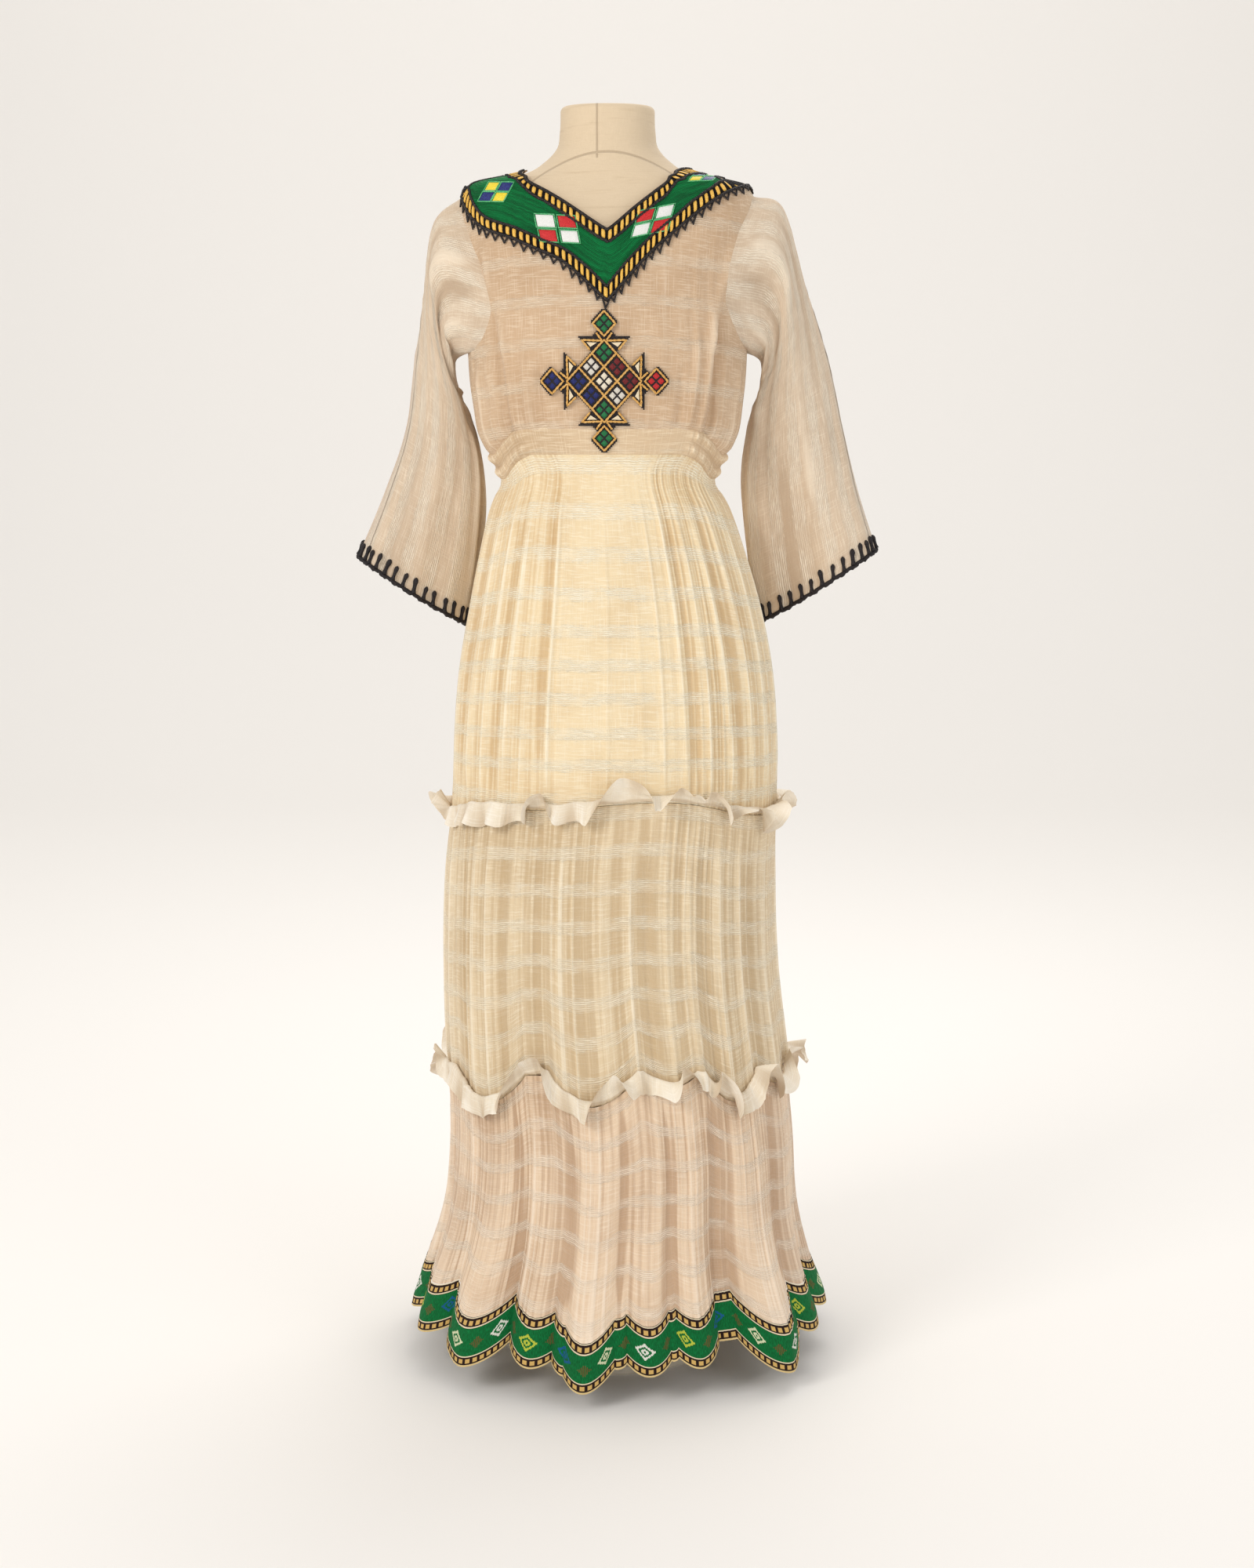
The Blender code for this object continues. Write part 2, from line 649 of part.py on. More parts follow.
def in_cross(x, z):
    """Whether a place, in steps from the middle, lies on the cross.

    It is a diamond lattice with a flared foot on each corner and a small
    diamond standing on each foot."""
    along, across = max(abs(x), abs(z)), min(abs(x), abs(z))
    lattice = along + across < CROSS_LATTICE
    foot = CROSS_LATTICE - 2 < along < CROSS_LATTICE and across < along - 2
    joint = CROSS_LATTICE < along < CROSS_LATTICE + 1 and across < CROSS_TIP - 2 - along
    diamond = abs(along - CROSS_TIP + 2) + across < 2
    return lattice or foot or joint or diamond


def build_cross(black):
    corners, faces = {}, []

    def corner(i, j):
        if (i, j) not in corners:
            corners[i, j] = (len(corners), CROSS_CENTRE[0] + i * CROSS_STEP[0],
                             CROSS_CENTRE[1] + j * CROSS_STEP[1])
        return corners[i, j][0]

    for i in range(-CROSS_TIP, CROSS_TIP):
        for j in range(-CROSS_TIP, CROSS_TIP):
            if (i + j) % 2 == 0:
                halves = (((i, j), (i + 1, j), (i + 1, j + 1)), ((i, j), (i + 1, j + 1), (i, j + 1)))
            else:
                halves = (((i, j), (i + 1, j), (i, j + 1)), ((i + 1, j), (i + 1, j + 1), (i, j + 1)))
            for half in halves:
                if in_cross(*(sum(values) / 3 for values in zip(*half))):
                    faces.append(tuple(corner(*place) for place in half))
    base, outs = [], []
    for _, x, z in sorted(corners.values()):
        wide = read(BODICE, "half_width", z)
        angle = math.degrees(math.asin(math.copysign((abs(x) / wide) ** (1 / ROUNDNESS), x)))
        point, out = on_bodice(np.array([angle]), np.array([z]))
        base.append(point[0])
        outs.append(out[0])
    base, outs = np.array(base), np.array(outs)
    low = base + outs * (CLOTH / 2 + LIE)
    high = low + outs * CROSS_THICK
    count = len(base)
    bottom = [(a + count, c + count, b + count) for a, b, c in faces]
    rim = {}
    for a, b, c in faces:
        for edge in ((a, b), (b, c), (c, a)):
            if (edge[1], edge[0]) in rim:
                del rim[edge[1], edge[0]]
            else:
                rim[edge] = True
    sides = []
    for a, b in rim:
        sides.append((b, a, a + count))
        sides.append((b, a + count, b + count))
    add_mesh("cross_applique", np.concatenate([high, low]), faces + bottom + sides, black)


def main():
    for obj in list(bpy.data.objects):
        bpy.data.objects.remove(obj)
    gauze = material("cream_gauze", (0.86, 0.80, 0.70), 0.85)
    white = material("ruffle_gauze", (0.93, 0.90, 0.84), 0.85)
    green = material("green_thread", (0.01, 0.26, 0.08), 0.6)
    black = material("black_thread", (0.02, 0.015, 0.018), 0.6)
    linen = material("form_linen", (0.80, 0.74, 0.63), 0.8)
    metal = material("stand_metal", (0.55, 0.53, 0.50), 0.45)
    build_stand(metal)
    build_form(linen)
    panels = build_bodice(gauze, green)
    build_casing(gauze)
    build_skirt(gauze, green)
    build_frills(white)
    build_sleeve(panels, 1, gauze, black)
    build_sleeve(panels, -1, gauze, black)
    build_cross(black)


main()
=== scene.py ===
"""Habesha kemis on a limbless dress form: its looks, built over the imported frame.

Metres, +Z up. The front of the dress faces -Y. Angles run round the body in
degrees, from the centre front (0) towards +X.
"""

import math

import bpy
import numpy as np
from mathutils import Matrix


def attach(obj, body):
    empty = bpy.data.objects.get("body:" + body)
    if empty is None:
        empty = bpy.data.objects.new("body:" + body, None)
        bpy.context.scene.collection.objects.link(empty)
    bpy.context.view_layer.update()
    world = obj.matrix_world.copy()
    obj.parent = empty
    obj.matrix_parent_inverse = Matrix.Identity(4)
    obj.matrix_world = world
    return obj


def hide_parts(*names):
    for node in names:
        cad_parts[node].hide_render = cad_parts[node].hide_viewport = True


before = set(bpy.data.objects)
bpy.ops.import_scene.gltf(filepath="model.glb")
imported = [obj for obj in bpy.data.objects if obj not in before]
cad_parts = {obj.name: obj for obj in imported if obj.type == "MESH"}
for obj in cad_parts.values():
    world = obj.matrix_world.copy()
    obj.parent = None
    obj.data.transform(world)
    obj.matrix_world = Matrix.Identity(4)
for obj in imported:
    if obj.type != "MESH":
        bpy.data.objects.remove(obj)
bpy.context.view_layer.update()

# Camera and light
# The photograph looks slightly down on the dress from about three metres away,
# in soft even light that comes a little more from the left.
camera = bpy.data.objects.new("camera", bpy.data.cameras.new("camera"))
camera.data.sensor_fit = "VERTICAL"
camera.data.sensor_height = 36.0
camera.data.lens = 60.1
camera.location = (0.023, -3.2, 1.188)
camera.rotation_euler = (math.radians(90 - 8.44), 0, 0)
bpy.context.scene.collection.objects.link(camera)
bpy.context.scene.camera = camera
bpy.context.scene.view_settings.view_transform = "Standard"


def soft_light(name, place, target, size, power, colour):
    """A square lamp that faces its target."""
    lamp = bpy.data.lights.new(name, "AREA")
    lamp.size = size
    lamp.energy = power
    lamp.color = colour
    obj = bpy.data.objects.new(name, lamp)
    obj.location = place
    away = np.subtract(target, place)
    tilt = math.acos(-away[2] / np.linalg.norm(away))
    obj.rotation_euler = (tilt, 0, math.atan2(away[1], away[0]) - math.pi / 2)
    bpy.context.scene.collection.objects.link(obj)


soft_light("key_light", (-2.3, -2.6, 2.5), (0, 0, 0.9), 1.5, 55, (1.0, 0.97, 0.93))
soft_light("fill_light", (2.4, -2.8, 1.6), (0, 0, 0.8), 2.2, 24, (0.96, 0.97, 1.0))
soft_light("back_light", (0.6, 1.4, 2.9), (0, 0.1, 0.8), 1.8, 22, (1.0, 0.98, 0.95))
soft_light("wall_light", (0, 2.8, 5.2), (0, 7.0, 1.0), 5.0, 90, (1.0, 0.96, 0.91))
world = bpy.data.worlds.new("studio")
world.use_nodes = True
world.node_tree.nodes["Background"].inputs["Color"].default_value = (0.92, 0.90, 0.88, 1)
world.node_tree.nodes["Background"].inputs["Strength"].default_value = 0.68
bpy.context.scene.world = world


# Backdrop
# A sheet of pale paper on the floor that sweeps up into the wall with no
# corner. It is not part of the object.
def linear(red, green, blue):
    """Scene colour of a screen colour given from 0 to 255."""
    values = np.array([red, green, blue]) / 255
    return tuple(np.where(values <= 0.04045, values / 12.92, ((values + 0.055) / 1.055) ** 2.4))


class Wire:
    """An output of a shader node that takes part in sums."""

    def __init__(self, finish, socket):
        self.finish = finish
        self.socket = socket

    def output(self, index):
        return Wire(self.finish, self.socket.node.outputs[index])

    def math(self, operation, *values):
        return self.finish.node("ShaderNodeMath", {"operation": operation}, dict(enumerate(values)))

    def __add__(self, other):
        return self.math("ADD", self, other)

    def __radd__(self, other):
        return self.math("ADD", other, self)

    def __sub__(self, other):
        return self.math("SUBTRACT", self, other)

    def __rsub__(self, other):
        return self.math("SUBTRACT", other, self)

    def __mul__(self, other):
        return self.math("MULTIPLY", self, other)

    def __rmul__(self, other):
        return self.math("MULTIPLY", other, self)

    def __truediv__(self, other):
        return self.math("DIVIDE", self, other)

    def __abs__(self):
        return self.math("ABSOLUTE", self)

    def fract(self):
        return self.math("FRACT", self)

    def floor(self):
        return self.math("FLOOR", self)

    def sine(self):
        return self.math("SINE", self)

    def over(self, edge):
        return self.math("GREATER_THAN", self, edge)

    def least(self, other):
        return self.math("MINIMUM", self, other)

    def most(self, other):
        return self.math("MAXIMUM", self, other)

    def ramp(self, low, high):
        """0 at low and 1 at high, smooth between them."""
        return self.finish.node("ShaderNodeMapRange", {"interpolation_type": "SMOOTHSTEP"},
                                {0: self, 1: low, 2: high})


class Finish:
    """A material with one Principled shader and short ways to feed it."""

    def __init__(self, name, **constants):
        self.material = bpy.data.materials.new(name)
        self.material.use_nodes = True
        self.tree = self.material.node_tree
        self.shader = self.tree.nodes["Principled BSDF"]
        for socket in self.shader.inputs:
            key = socket.name.lower().replace(" ", "_")
            if key in constants:
                socket.default_value = constants[key]

    def node(self, kind, settings=None, sockets=None):
        made = self.tree.nodes.new(kind)
        for key, value in (settings or {}).items():
            setattr(made, key, value)
        for key, value in (sockets or {}).items():
            if isinstance(value, Wire):
                self.tree.links.new(value.socket, made.inputs[key])
            else:
                made.inputs[key].default_value = value
        return Wire(self, made.outputs[0])

    def object_place(self):
        """The place on the object in metres, as one vector and as x, y, z."""
        place = self.node("ShaderNodeTexCoord").output(3)
        split = self.node("ShaderNodeSeparateXYZ", sockets={0: place})
        return place, split, split.output(1), split.output(2)

    def cloth_place(self):
        """Metres across and along the flat cloth, from the piece's own map."""
        place = self.node("ShaderNodeUVMap", {"uv_map": "cloth"})
        split = self.node("ShaderNodeSeparateXYZ", sockets={0: place})
        return split, split.output(1)

    def shade(self, name):
        return self.node("ShaderNodeAttribute", {"attribute_name": name}).output(2)

    def noise(self, x, y, z=0.0, detail=2.0):
        vector = self.node("ShaderNodeCombineXYZ", sockets={0: x, 1: y, 2: z})
        return self.node("ShaderNodeTexNoise", sockets={"Vector": vector, "Scale": 1.0, "Detail": detail})

    def mix(self, share, first, second):
        sockets = {0: share}
        for key, colour in ((6, first), (7, second)):
            sockets[key] = colour if isinstance(colour, Wire) else (*colour, 1)
        return self.node("ShaderNodeMix", {"data_type": "RGBA"}, sockets).output(2)

    def feed(self, colour, height=None, depth=0.001, strength=1.0, roughness=None):
        """Links the colour, the roughness and the bump, and gives the material."""
        self.tree.links.new(colour.socket, self.shader.inputs["Base Color"])
        if roughness is not None:
            self.tree.links.new(roughness.socket, self.shader.inputs["Roughness"])
        if height is not None:
            sockets = {"Strength": strength, "Distance": depth, "Height": height}
            bump = self.node("ShaderNodeBump", sockets=sockets)
            self.tree.links.new(bump.socket, self.shader.inputs["Normal"])
        return self.material


def add_mesh(name, points, faces, material, flat=None, shades=None):
    """A smooth mesh object from arrays, with its cloth map and named shades."""
    mesh = bpy.data.meshes.new(name)
    mesh.from_pydata(np.asarray(points, float).reshape(-1, 3).tolist(), [], faces)
    mesh.shade_smooth()
    mesh.materials.append(material)
    if flat is not None:
        layer = mesh.uv_layers.new(name="cloth")
        corners = np.zeros(len(mesh.loops), np.int32)
        mesh.loops.foreach_get("vertex_index", corners)
        layer.data.foreach_set("uv", np.asarray(flat, np.float32).reshape(-1, 2)[corners].ravel())
    for key, values in (shades or {}).items():
        shade = mesh.attributes.new(key, "FLOAT", "POINT")
        shade.data.foreach_set("value", np.asarray(values, np.float32).ravel())
    obj = bpy.data.objects.new(name, mesh)
    bpy.context.scene.collection.objects.link(obj)
    return obj


def grid_faces(rows, columns, closed=False):
    """Quads of a grid of points whose rows run down, facing outwards."""
    at = np.arange(rows * columns).reshape(rows, columns)
    right = np.roll(at, -1, axis=1)
    corners = np.stack([at[:-1], at[1:], right[1:], right[:-1]], -1)
    if not closed:
        corners = corners[:, :-1]
    return corners.reshape(-1, 4).tolist()


paper = Finish("backdrop_paper", roughness=0.95)
_, paper_x, paper_y, paper_z = paper.object_place()
tooth = paper.noise(paper_x * 700, paper_y * 700, paper_z * 700)
FLOOR_FRONT = -7.0
WALL_AT = 7.0             # far enough back for a camera behind the dress
SWEEP = 2.6
HALF_WIDE = 9.0
WALL_TOP = 8.0
turns = np.linspace(0, math.pi / 2, 28)
sweep = np.array([(FLOOR_FRONT, 0.0)]
                 + [(WALL_AT - SWEEP + SWEEP * math.sin(t), SWEEP - SWEEP * math.cos(t)) for t in turns]
                 + [(WALL_AT, WALL_TOP)])
paper_points = np.array([[(-HALF_WIDE, y, z), (HALF_WIDE, y, z)] for y, z in sweep])
backdrop = add_mesh("backdrop", paper_points, grid_faces(len(sweep), 2),
                    paper.feed(paper.mix(tooth, linear(243, 241, 238), linear(249, 247, 244))))


# Stand
# A turned round base and a plain steel pole, both painted cream. The shapes
# are right as packed, so they only take a satin paint with a faint orange peel.
paint = Finish("cream_paint", roughness=0.4, coat_weight=0.15)
_, paint_x, paint_y, paint_z = paint.object_place()
peel = paint.noise(paint_x * 420, paint_y * 420, paint_z * 420)
wear = paint.noise(paint_x * 14, paint_y * 14, paint_z * 14, 4.0)
satin = paint.feed(paint.mix(wear.ramp(0.35, 0.7), linear(214, 203, 184), linear(224, 215, 198)),
                   peel, 0.0004, 0.3, wear * 0.2 + 0.3)
for node in ("form_base", "form_pole"):
    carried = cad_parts[node]
    carried.data.materials.clear()
    carried.data.materials.append(satin)


# Dress form
# A padded neck and torso with no limbs, covered in tightly stretched linen.
# The cover has an arched seam round the foot of the neck and seams down it.
ROUNDNESS = 0.90          # power on sine and cosine: under 1 gives a squarer oval


def table(names, rows):
    """A table with named columns, its first column the one it is read by."""
    return dict(zip(names.split(), np.array(rows, float).T))


def read(tab, name, at):
    """Smooth value of a column at one or many places of the first column."""
    key = next(iter(tab))
    xs, ys = tab[key], tab[name]
    if xs[0] > xs[-1]:
        xs, ys = xs[::-1], ys[::-1]
    slopes = np.gradient(ys, xs)
    at = np.clip(at, xs[0], xs[-1])
    i = np.clip(np.searchsorted(xs, at) - 1, 0, len(xs) - 2)
    step = xs[i + 1] - xs[i]
    t = (at - xs[i]) / step
    return ((1 + 2 * t) * (1 - t) ** 2 * ys[i] + t * (1 - t) ** 2 * step * slopes[i]
            + t * t * (3 - 2 * t) * ys[i + 1] + t * t * (t - 1) * step * slopes[i + 1])


def oval(half_width, front, back, angle):
    """Point and outward direction on a squared oval, by angle in degrees."""
    a = np.radians(angle)
    s, c = np.sin(a), np.cos(a)
    depth = np.where(c > 0, front, back)
    x = half_width * np.sign(s) * np.abs(s) ** ROUNDNESS
    y = -depth * np.sign(c) * np.abs(c) ** ROUNDNESS
    out = np.stack([s * depth, -c * half_width, 0 * s], -1)
    return x, y, out / np.linalg.norm(out, axis=-1, keepdims=True)


def on_table(tab, angle, z):
    """Point and outward direction on the body that a table of ovals gives."""
    x, y, out = oval(*(read(tab, name, z) for name in ("half_width", "front", "back")), angle)
    return np.stack([x, y, z + 0 * x], -1), out


FORM = table("height half_width front back", [
    (1.527, 0.056, 0.056, 0.056),
    (1.498, 0.057, 0.056, 0.056),
    (1.478, 0.061, 0.056, 0.058),
    (1.464, 0.074, 0.057, 0.062),
    (1.450, 0.097, 0.061, 0.066),
    (1.438, 0.141, 0.064, 0.070),
    (1.426, 0.159, 0.070, 0.077),
    (1.412, 0.168, 0.076, 0.084),
    (1.378, 0.169, 0.088, 0.098),
    (1.328, 0.164, 0.104, 0.105),
    (1.278, 0.157, 0.120, 0.104),
    (1.238, 0.151, 0.123, 0.100),
    (1.188, 0.141, 0.112, 0.094),
    (1.138, 0.128, 0.096, 0.088),
    (1.088, 0.121, 0.090, 0.086),
    (1.028, 0.134, 0.097, 0.094),
    (0.958, 0.152, 0.110, 0.112),
    (0.878, 0.160, 0.116, 0.122),
    (0.818, 0.160, 0.115, 0.120),
    (0.778, 0.156, 0.112, 0.116),
])
CAP_ROUND = 0.006         # rounding of the neck's top edge
NECK_SEAM = 1.452         # height of the arched seam at the sides of the neck
NECK_ARCH = 0.019         # how much higher the arch is at the centre front

FORM_COLUMNS = 128
form_angles = np.arange(FORM_COLUMNS) * 360.0 / FORM_COLUMNS
neck_top = FORM["height"][0]
form_heights = np.concatenate([np.linspace(neck_top - CAP_ROUND, 1.40, 40), np.linspace(1.39, 0.778, 62)])
rings = []
for share in (0.0, 0.5, 0.88):
    ring, _ = on_table(FORM, form_angles, np.full(FORM_COLUMNS, neck_top))
    rings.append(ring * (share, share, 1))
for lean in np.linspace(0, math.pi / 2, 6):
    ring, out = on_table(FORM, form_angles, np.full(FORM_COLUMNS, neck_top - CAP_ROUND))
    rings.append(ring + out * CAP_ROUND * (math.sin(lean) - 1) + (0, 0, CAP_ROUND * math.cos(lean)))
for height in form_heights[1:]:
    rings.append(on_table(FORM, form_angles, np.full(FORM_COLUMNS, height))[0])
bottom = rings[-1]
for share in (0.9, 0.45, 0.045):
    rings.append(bottom * (share, share, 1))

linen = Finish("form_linen", roughness=0.88, sheen_weight=0.15)
_, lx, ly, lz = linen.object_place()
warp = linen.noise(lx * 1500, ly * 1500, lz * 90)
weft = linen.noise(lx * 90, ly * 90, lz * 1500)
slub = linen.noise(lx * 16, ly * 16, lz * 260, 3.0)
arch = lz - NECK_SEAM - NECK_ARCH * (1 - (lx / 0.066) * (lx / 0.066))
side_line = lx + 0.012
neck_only = lz.over(NECK_SEAM + 0.012)
groove = (1 - abs(arch).ramp(0.0004, 0.0017)).most((1 - abs(side_line).ramp(0.0004, 0.0015)) * neck_only)
thread = linen.mix((warp + weft) * 0.5, linear(214, 192, 160), linear(234, 214, 184))
tone = linen.mix(slub.ramp(0.55, 0.75) * 0.4, thread, linear(202, 178, 144))
form_cover = add_mesh("form_cover", rings, grid_faces(len(rings), FORM_COLUMNS, closed=True),
                      linen.feed(linen.mix(groove * 0.55, tone, linear(170, 148, 120)),
                                 warp + weft - groove * 3.0, 0.0006, 0.6))
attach(form_cover, "root")
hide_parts("form_torso")


# Bodice front and back
# Two panels of cotton gauze, each cut in one with its half of the V neck, with
# denser bands of white weft. They are gathered into the elastic at the waist
# and carry the sleeves in armholes that start at the yoke.
WAIST_SIDE = 1.088        # height of the waist seam at the sides and back
WAIST_RISE = 0.031        # how much higher the seam runs at the centre front
WAIST_FLAT = 34.0         # degrees each side of centre front with no elastic
WAIST_FALL = 40.0         # degrees over which the seam falls
CASING = 0.031            # height of the elastic casing
UNDERARM = 1.240          # lowest point of the armhole
SHOULDER_TIP = 1.4230     # highest point of the armhole
ARMHOLE_HALF = 37.0       # half of the armhole's width, in degrees round the body
ARMHOLE_TAPER = (1.10, 0.90)              # share of that at its foot and at its top
SIDE_SEAM = 0.12          # half of the gap at a side seam, in degrees
LAYER = 0.0011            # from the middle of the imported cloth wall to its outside
SEAM_TUCK = 0.004         # how far the cloth runs on behind the waist casing

BODICE = table("height half_width front back", [
    (1.478, 0.0658, 0.0612, 0.0645),
    (1.464, 0.0798, 0.0618, 0.0675),
    (1.450, 0.1075, 0.0664, 0.0725),
    (1.438, 0.1600, 0.0718, 0.0787),
    (1.426, 0.1720, 0.0776, 0.0852),
    (1.412, 0.1760, 0.0842, 0.0917),
    (1.378, 0.1755, 0.0970, 0.1045),
    (1.328, 0.1705, 0.1125, 0.1125),
    (1.278, 0.1680, 0.1270, 0.1100),
    (1.238, 0.1680, 0.1300, 0.1080),
    (1.193, 0.1650, 0.1260, 0.1060),
    (1.148, 0.1560, 0.1160, 0.1020),
    (1.119, 0.1440, 0.1060, 0.0970),
    (1.088, 0.1300, 0.0980, 0.0930),
    (1.058, 0.1310, 0.0990, 0.0940),
])

# The neck edge and the outer edge of the yoke: height by angle from centre front
NECKLINE = table("angle inner outer", [
    (-180, 1.424, 1.370),
    (-140, 1.434, 1.382),
    (-110, 1.449, 1.415),
    (-90, 1.4545, 1.4330),
    (-74, 1.4512, 1.4130),
    (-57, 1.4474, 1.3850),
    (-35, 1.4400, 1.3660),
    (-25, 1.4305, 1.3540),
    (-16, 1.4170, 1.3420),
    (-8, 1.4005, 1.3215),
    (0, 1.381, 1.295),
    (8, 1.4060, 1.3275),
    (15, 1.4230, 1.3515),
    (25, 1.4400, 1.3780),
    (36, 1.4460, 1.4020),
    (50, 1.4515, 1.4210),
    (68, 1.4545, 1.4310),
    (90, 1.4545, 1.4330),
    (110, 1.449, 1.415),
    (140, 1.434, 1.382),
    (180, 1.424, 1.370),
])

# Soft folds of the bodice: where each starts and ends, how wide it is
# and how far it stands out, or sinks in where that is below zero
BODICE_FOLDS = table("angle top low lean width rise", [
    (-52, 1.330, 1.125, 8, 3.0, -0.0040),
    (-44, 1.300, 1.120, 4, 2.0, 0.0026),
    (-34, 1.270, 1.118, 3, 1.6, 0.0022),
    (-27, 1.240, 1.135, 1, 1.8, -0.0018),
    (-58, 1.380, 1.230, 14, 3.4, 0.0032),
    (54, 1.340, 1.125, -9, 3.2, -0.0042),
    (46, 1.310, 1.118, -6, 2.0, 0.0028),
    (37, 1.280, 1.118, -3, 1.7, 0.0024),
    (29, 1.230, 1.140, 0, 2.0, -0.0016),
    (60, 1.385, 1.240, -16, 3.4, 0.0034),
    (-66, 1.230, 1.118, 3, 2.2, 0.0030),
    (-74, 1.225, 1.118, 0, 2.0, -0.0026),
    (68, 1.235, 1.118, -3, 2.2, 0.0030),
    (77, 1.220, 1.118, 0, 2.0, -0.0026),
    (18, 1.300, 1.180, 2, 3.0, 0.0010),
    (-16, 1.300, 1.190, -2, 3.0, 0.0010),
    (180, 1.330, 1.120, 0, 5.0, -0.0022),
    (-152, 1.340, 1.125, -5, 3.0, 0.0028),
    (150, 1.345, 1.125, 5, 3.2, 0.0028),
    (-124, 1.360, 1.150, 6, 4.0, -0.0034),
    (122, 1.355, 1.150, -6, 4.0, -0.0034),
    (-108, 1.220, 1.118, 1, 2.4, 0.0028),
    (107, 1.225, 1.118, -1, 2.4, 0.0028),
])


def turned(angle):
    """The angle as a number from -180 to 180."""
    return (np.asarray(angle, float) + 180) % 360 - 180


def smooth(t):
    t = np.clip(t, 0, 1)
    return t * t * (3 - 2 * t)


def waist_seam(angle):
    """Height of the waist seam: level over the flat centre front, then falling."""
    return WAIST_SIDE + WAIST_RISE * (1 - smooth((np.abs(turned(angle)) - WAIST_FLAT) / WAIST_FALL))


def armhole_half(z):
    t = (z - UNDERARM) / (SHOULDER_TIP - UNDERARM)
    foot, top = ARMHOLE_TAPER
    return ARMHOLE_HALF * np.sqrt(np.clip(1 - (2 * t - 1) ** 2, 0, 1)) * (foot + (top - foot) * t)


def creases(tab, angle, z):
    """Sum of the folds that a table places on the body."""
    total = np.zeros(np.broadcast(angle, z).shape)
    for start, top, low, lean, width, rise in zip(*(tab[name] for name in tab)):
        down = (top - z) / (top - low)
        away = turned(angle - start - lean * np.clip(down, 0, 1)) / width
        ends = smooth(down / 0.3) * smooth((1 - down) / 0.18 + 0.35)
        total += rise * ends * np.exp(-away ** 2)
    return total


def gathers(across, down, pitch, seed, sharp=0.5, wander=1.0):
    """Uneven narrow ridges, 0 between them and 1 on the highest crest.

    They stand about one pitch apart, wander as they run down and fade in and
    out. Sharp is the width of a ridge as a share of its pitch."""
    rng = np.random.default_rng(seed)
    total = 0
    for share, stretch in ((1.0, 1.0), (0.7, 0.57), (0.5, 1.63)):
        start, bend, slow, lean = rng.uniform(0, 2 * math.pi, 4)
        apart = pitch * stretch
        phase = math.pi * across / apart + start + 0.8 * np.sin(across / (2.7 * apart) + bend)
        drift = 0.5 * np.sin(9 * down + lean) + 0.3 * np.sin(23 * down + across / pitch / 2.3)
        phase = phase + wander * drift
        height = 0.6 + 0.4 * np.sin(across / (1.9 * pitch) + 13 * down + slow)
        total = total + share * height * np.exp(-(np.sin(phase) / sharp) ** 2)
    return total / 1.7


def bodice_relief(angle, z):
    """How far the bodice cloth stands out of its plain form, and the painted shading of its folds and
    gathers: lighter on crests, darker in hollows.
    """
    front = np.abs(turned(angle))
    over = z - waist_seam(angle) - CASING
    loose = 0.25 + 0.75 * smooth((front - 22) / 16)
    pulled = gathers(np.radians(turned(angle)) * 0.14, z, 0.0085, 5, 0.55)
    near = np.exp(-np.clip(over, 0, 1) / 0.050)
    soft = gathers(np.radians(turned(angle)) * 0.14, z, 0.021, 8, 0.9, 1.6)
    blouse = 0.0030 * np.exp(-((over - 0.020) / 0.022) ** 2) * smooth((front - 30) / 20)
    draped = creases(BODICE_FOLDS, angle, z)
    relief = 1.5 * draped + 0.0030 * pulled * near * loose + 0.0020 * soft * loose + blouse
    relief = relief * smooth((over + 0.004) / 0.010)
    return relief - 0.0010, (pulled - 0.35) * near * loose * 1.6 + (soft - 0.4) * 0.7 + draped / 0.0060


def on_bodice(angle, z, lift=0.0):
    """Point on the worn bodice cloth, and its outward direction."""
    point, out = on_table(BODICE, angle, z)
    relief, _ = bodice_relief(angle, z)
    return point + out * (relief + lift)[..., None], out


def neck_edge(name, angle):
    """Height of the yoke's inner or outer edge, with a sharp point at centre front."""
    halves = []
    for keep in (NECKLINE["angle"] <= 0, NECKLINE["angle"] >= 0):
        halves.append({key: values[keep] for key, values in NECKLINE.items()})
    return np.where(np.asarray(angle) < 0, read(halves[0], name, angle), read(halves[1], name, angle))


def bodice_place(side, step, back):
    """Angle and height on a bodice panel: side is the height at its side edge
    and step runs from -1 to 1 across it."""
    reach = 90 - np.maximum(armhole_half(side), SIDE_SEAM)
    turn = step * reach
    angle = turned(180 + turn if back else turn)
    inner, outer = neck_edge("inner", angle), neck_edge("outer", angle)
    side_inner, side_outer = neck_edge("inner", 90.0), neck_edge("outer", 90.0)
    low = WAIST_SIDE + CASING - SEAM_TUCK
    on_yoke = inner + (outer - inner) * (side_inner - side) / (side_inner - side_outer)
    end = waist_seam(angle) + CASING - SEAM_TUCK
    under = outer + (end - outer) * (side_outer - side) / (side_outer - low)
    return angle, np.where(side >= side_outer, on_yoke, under)


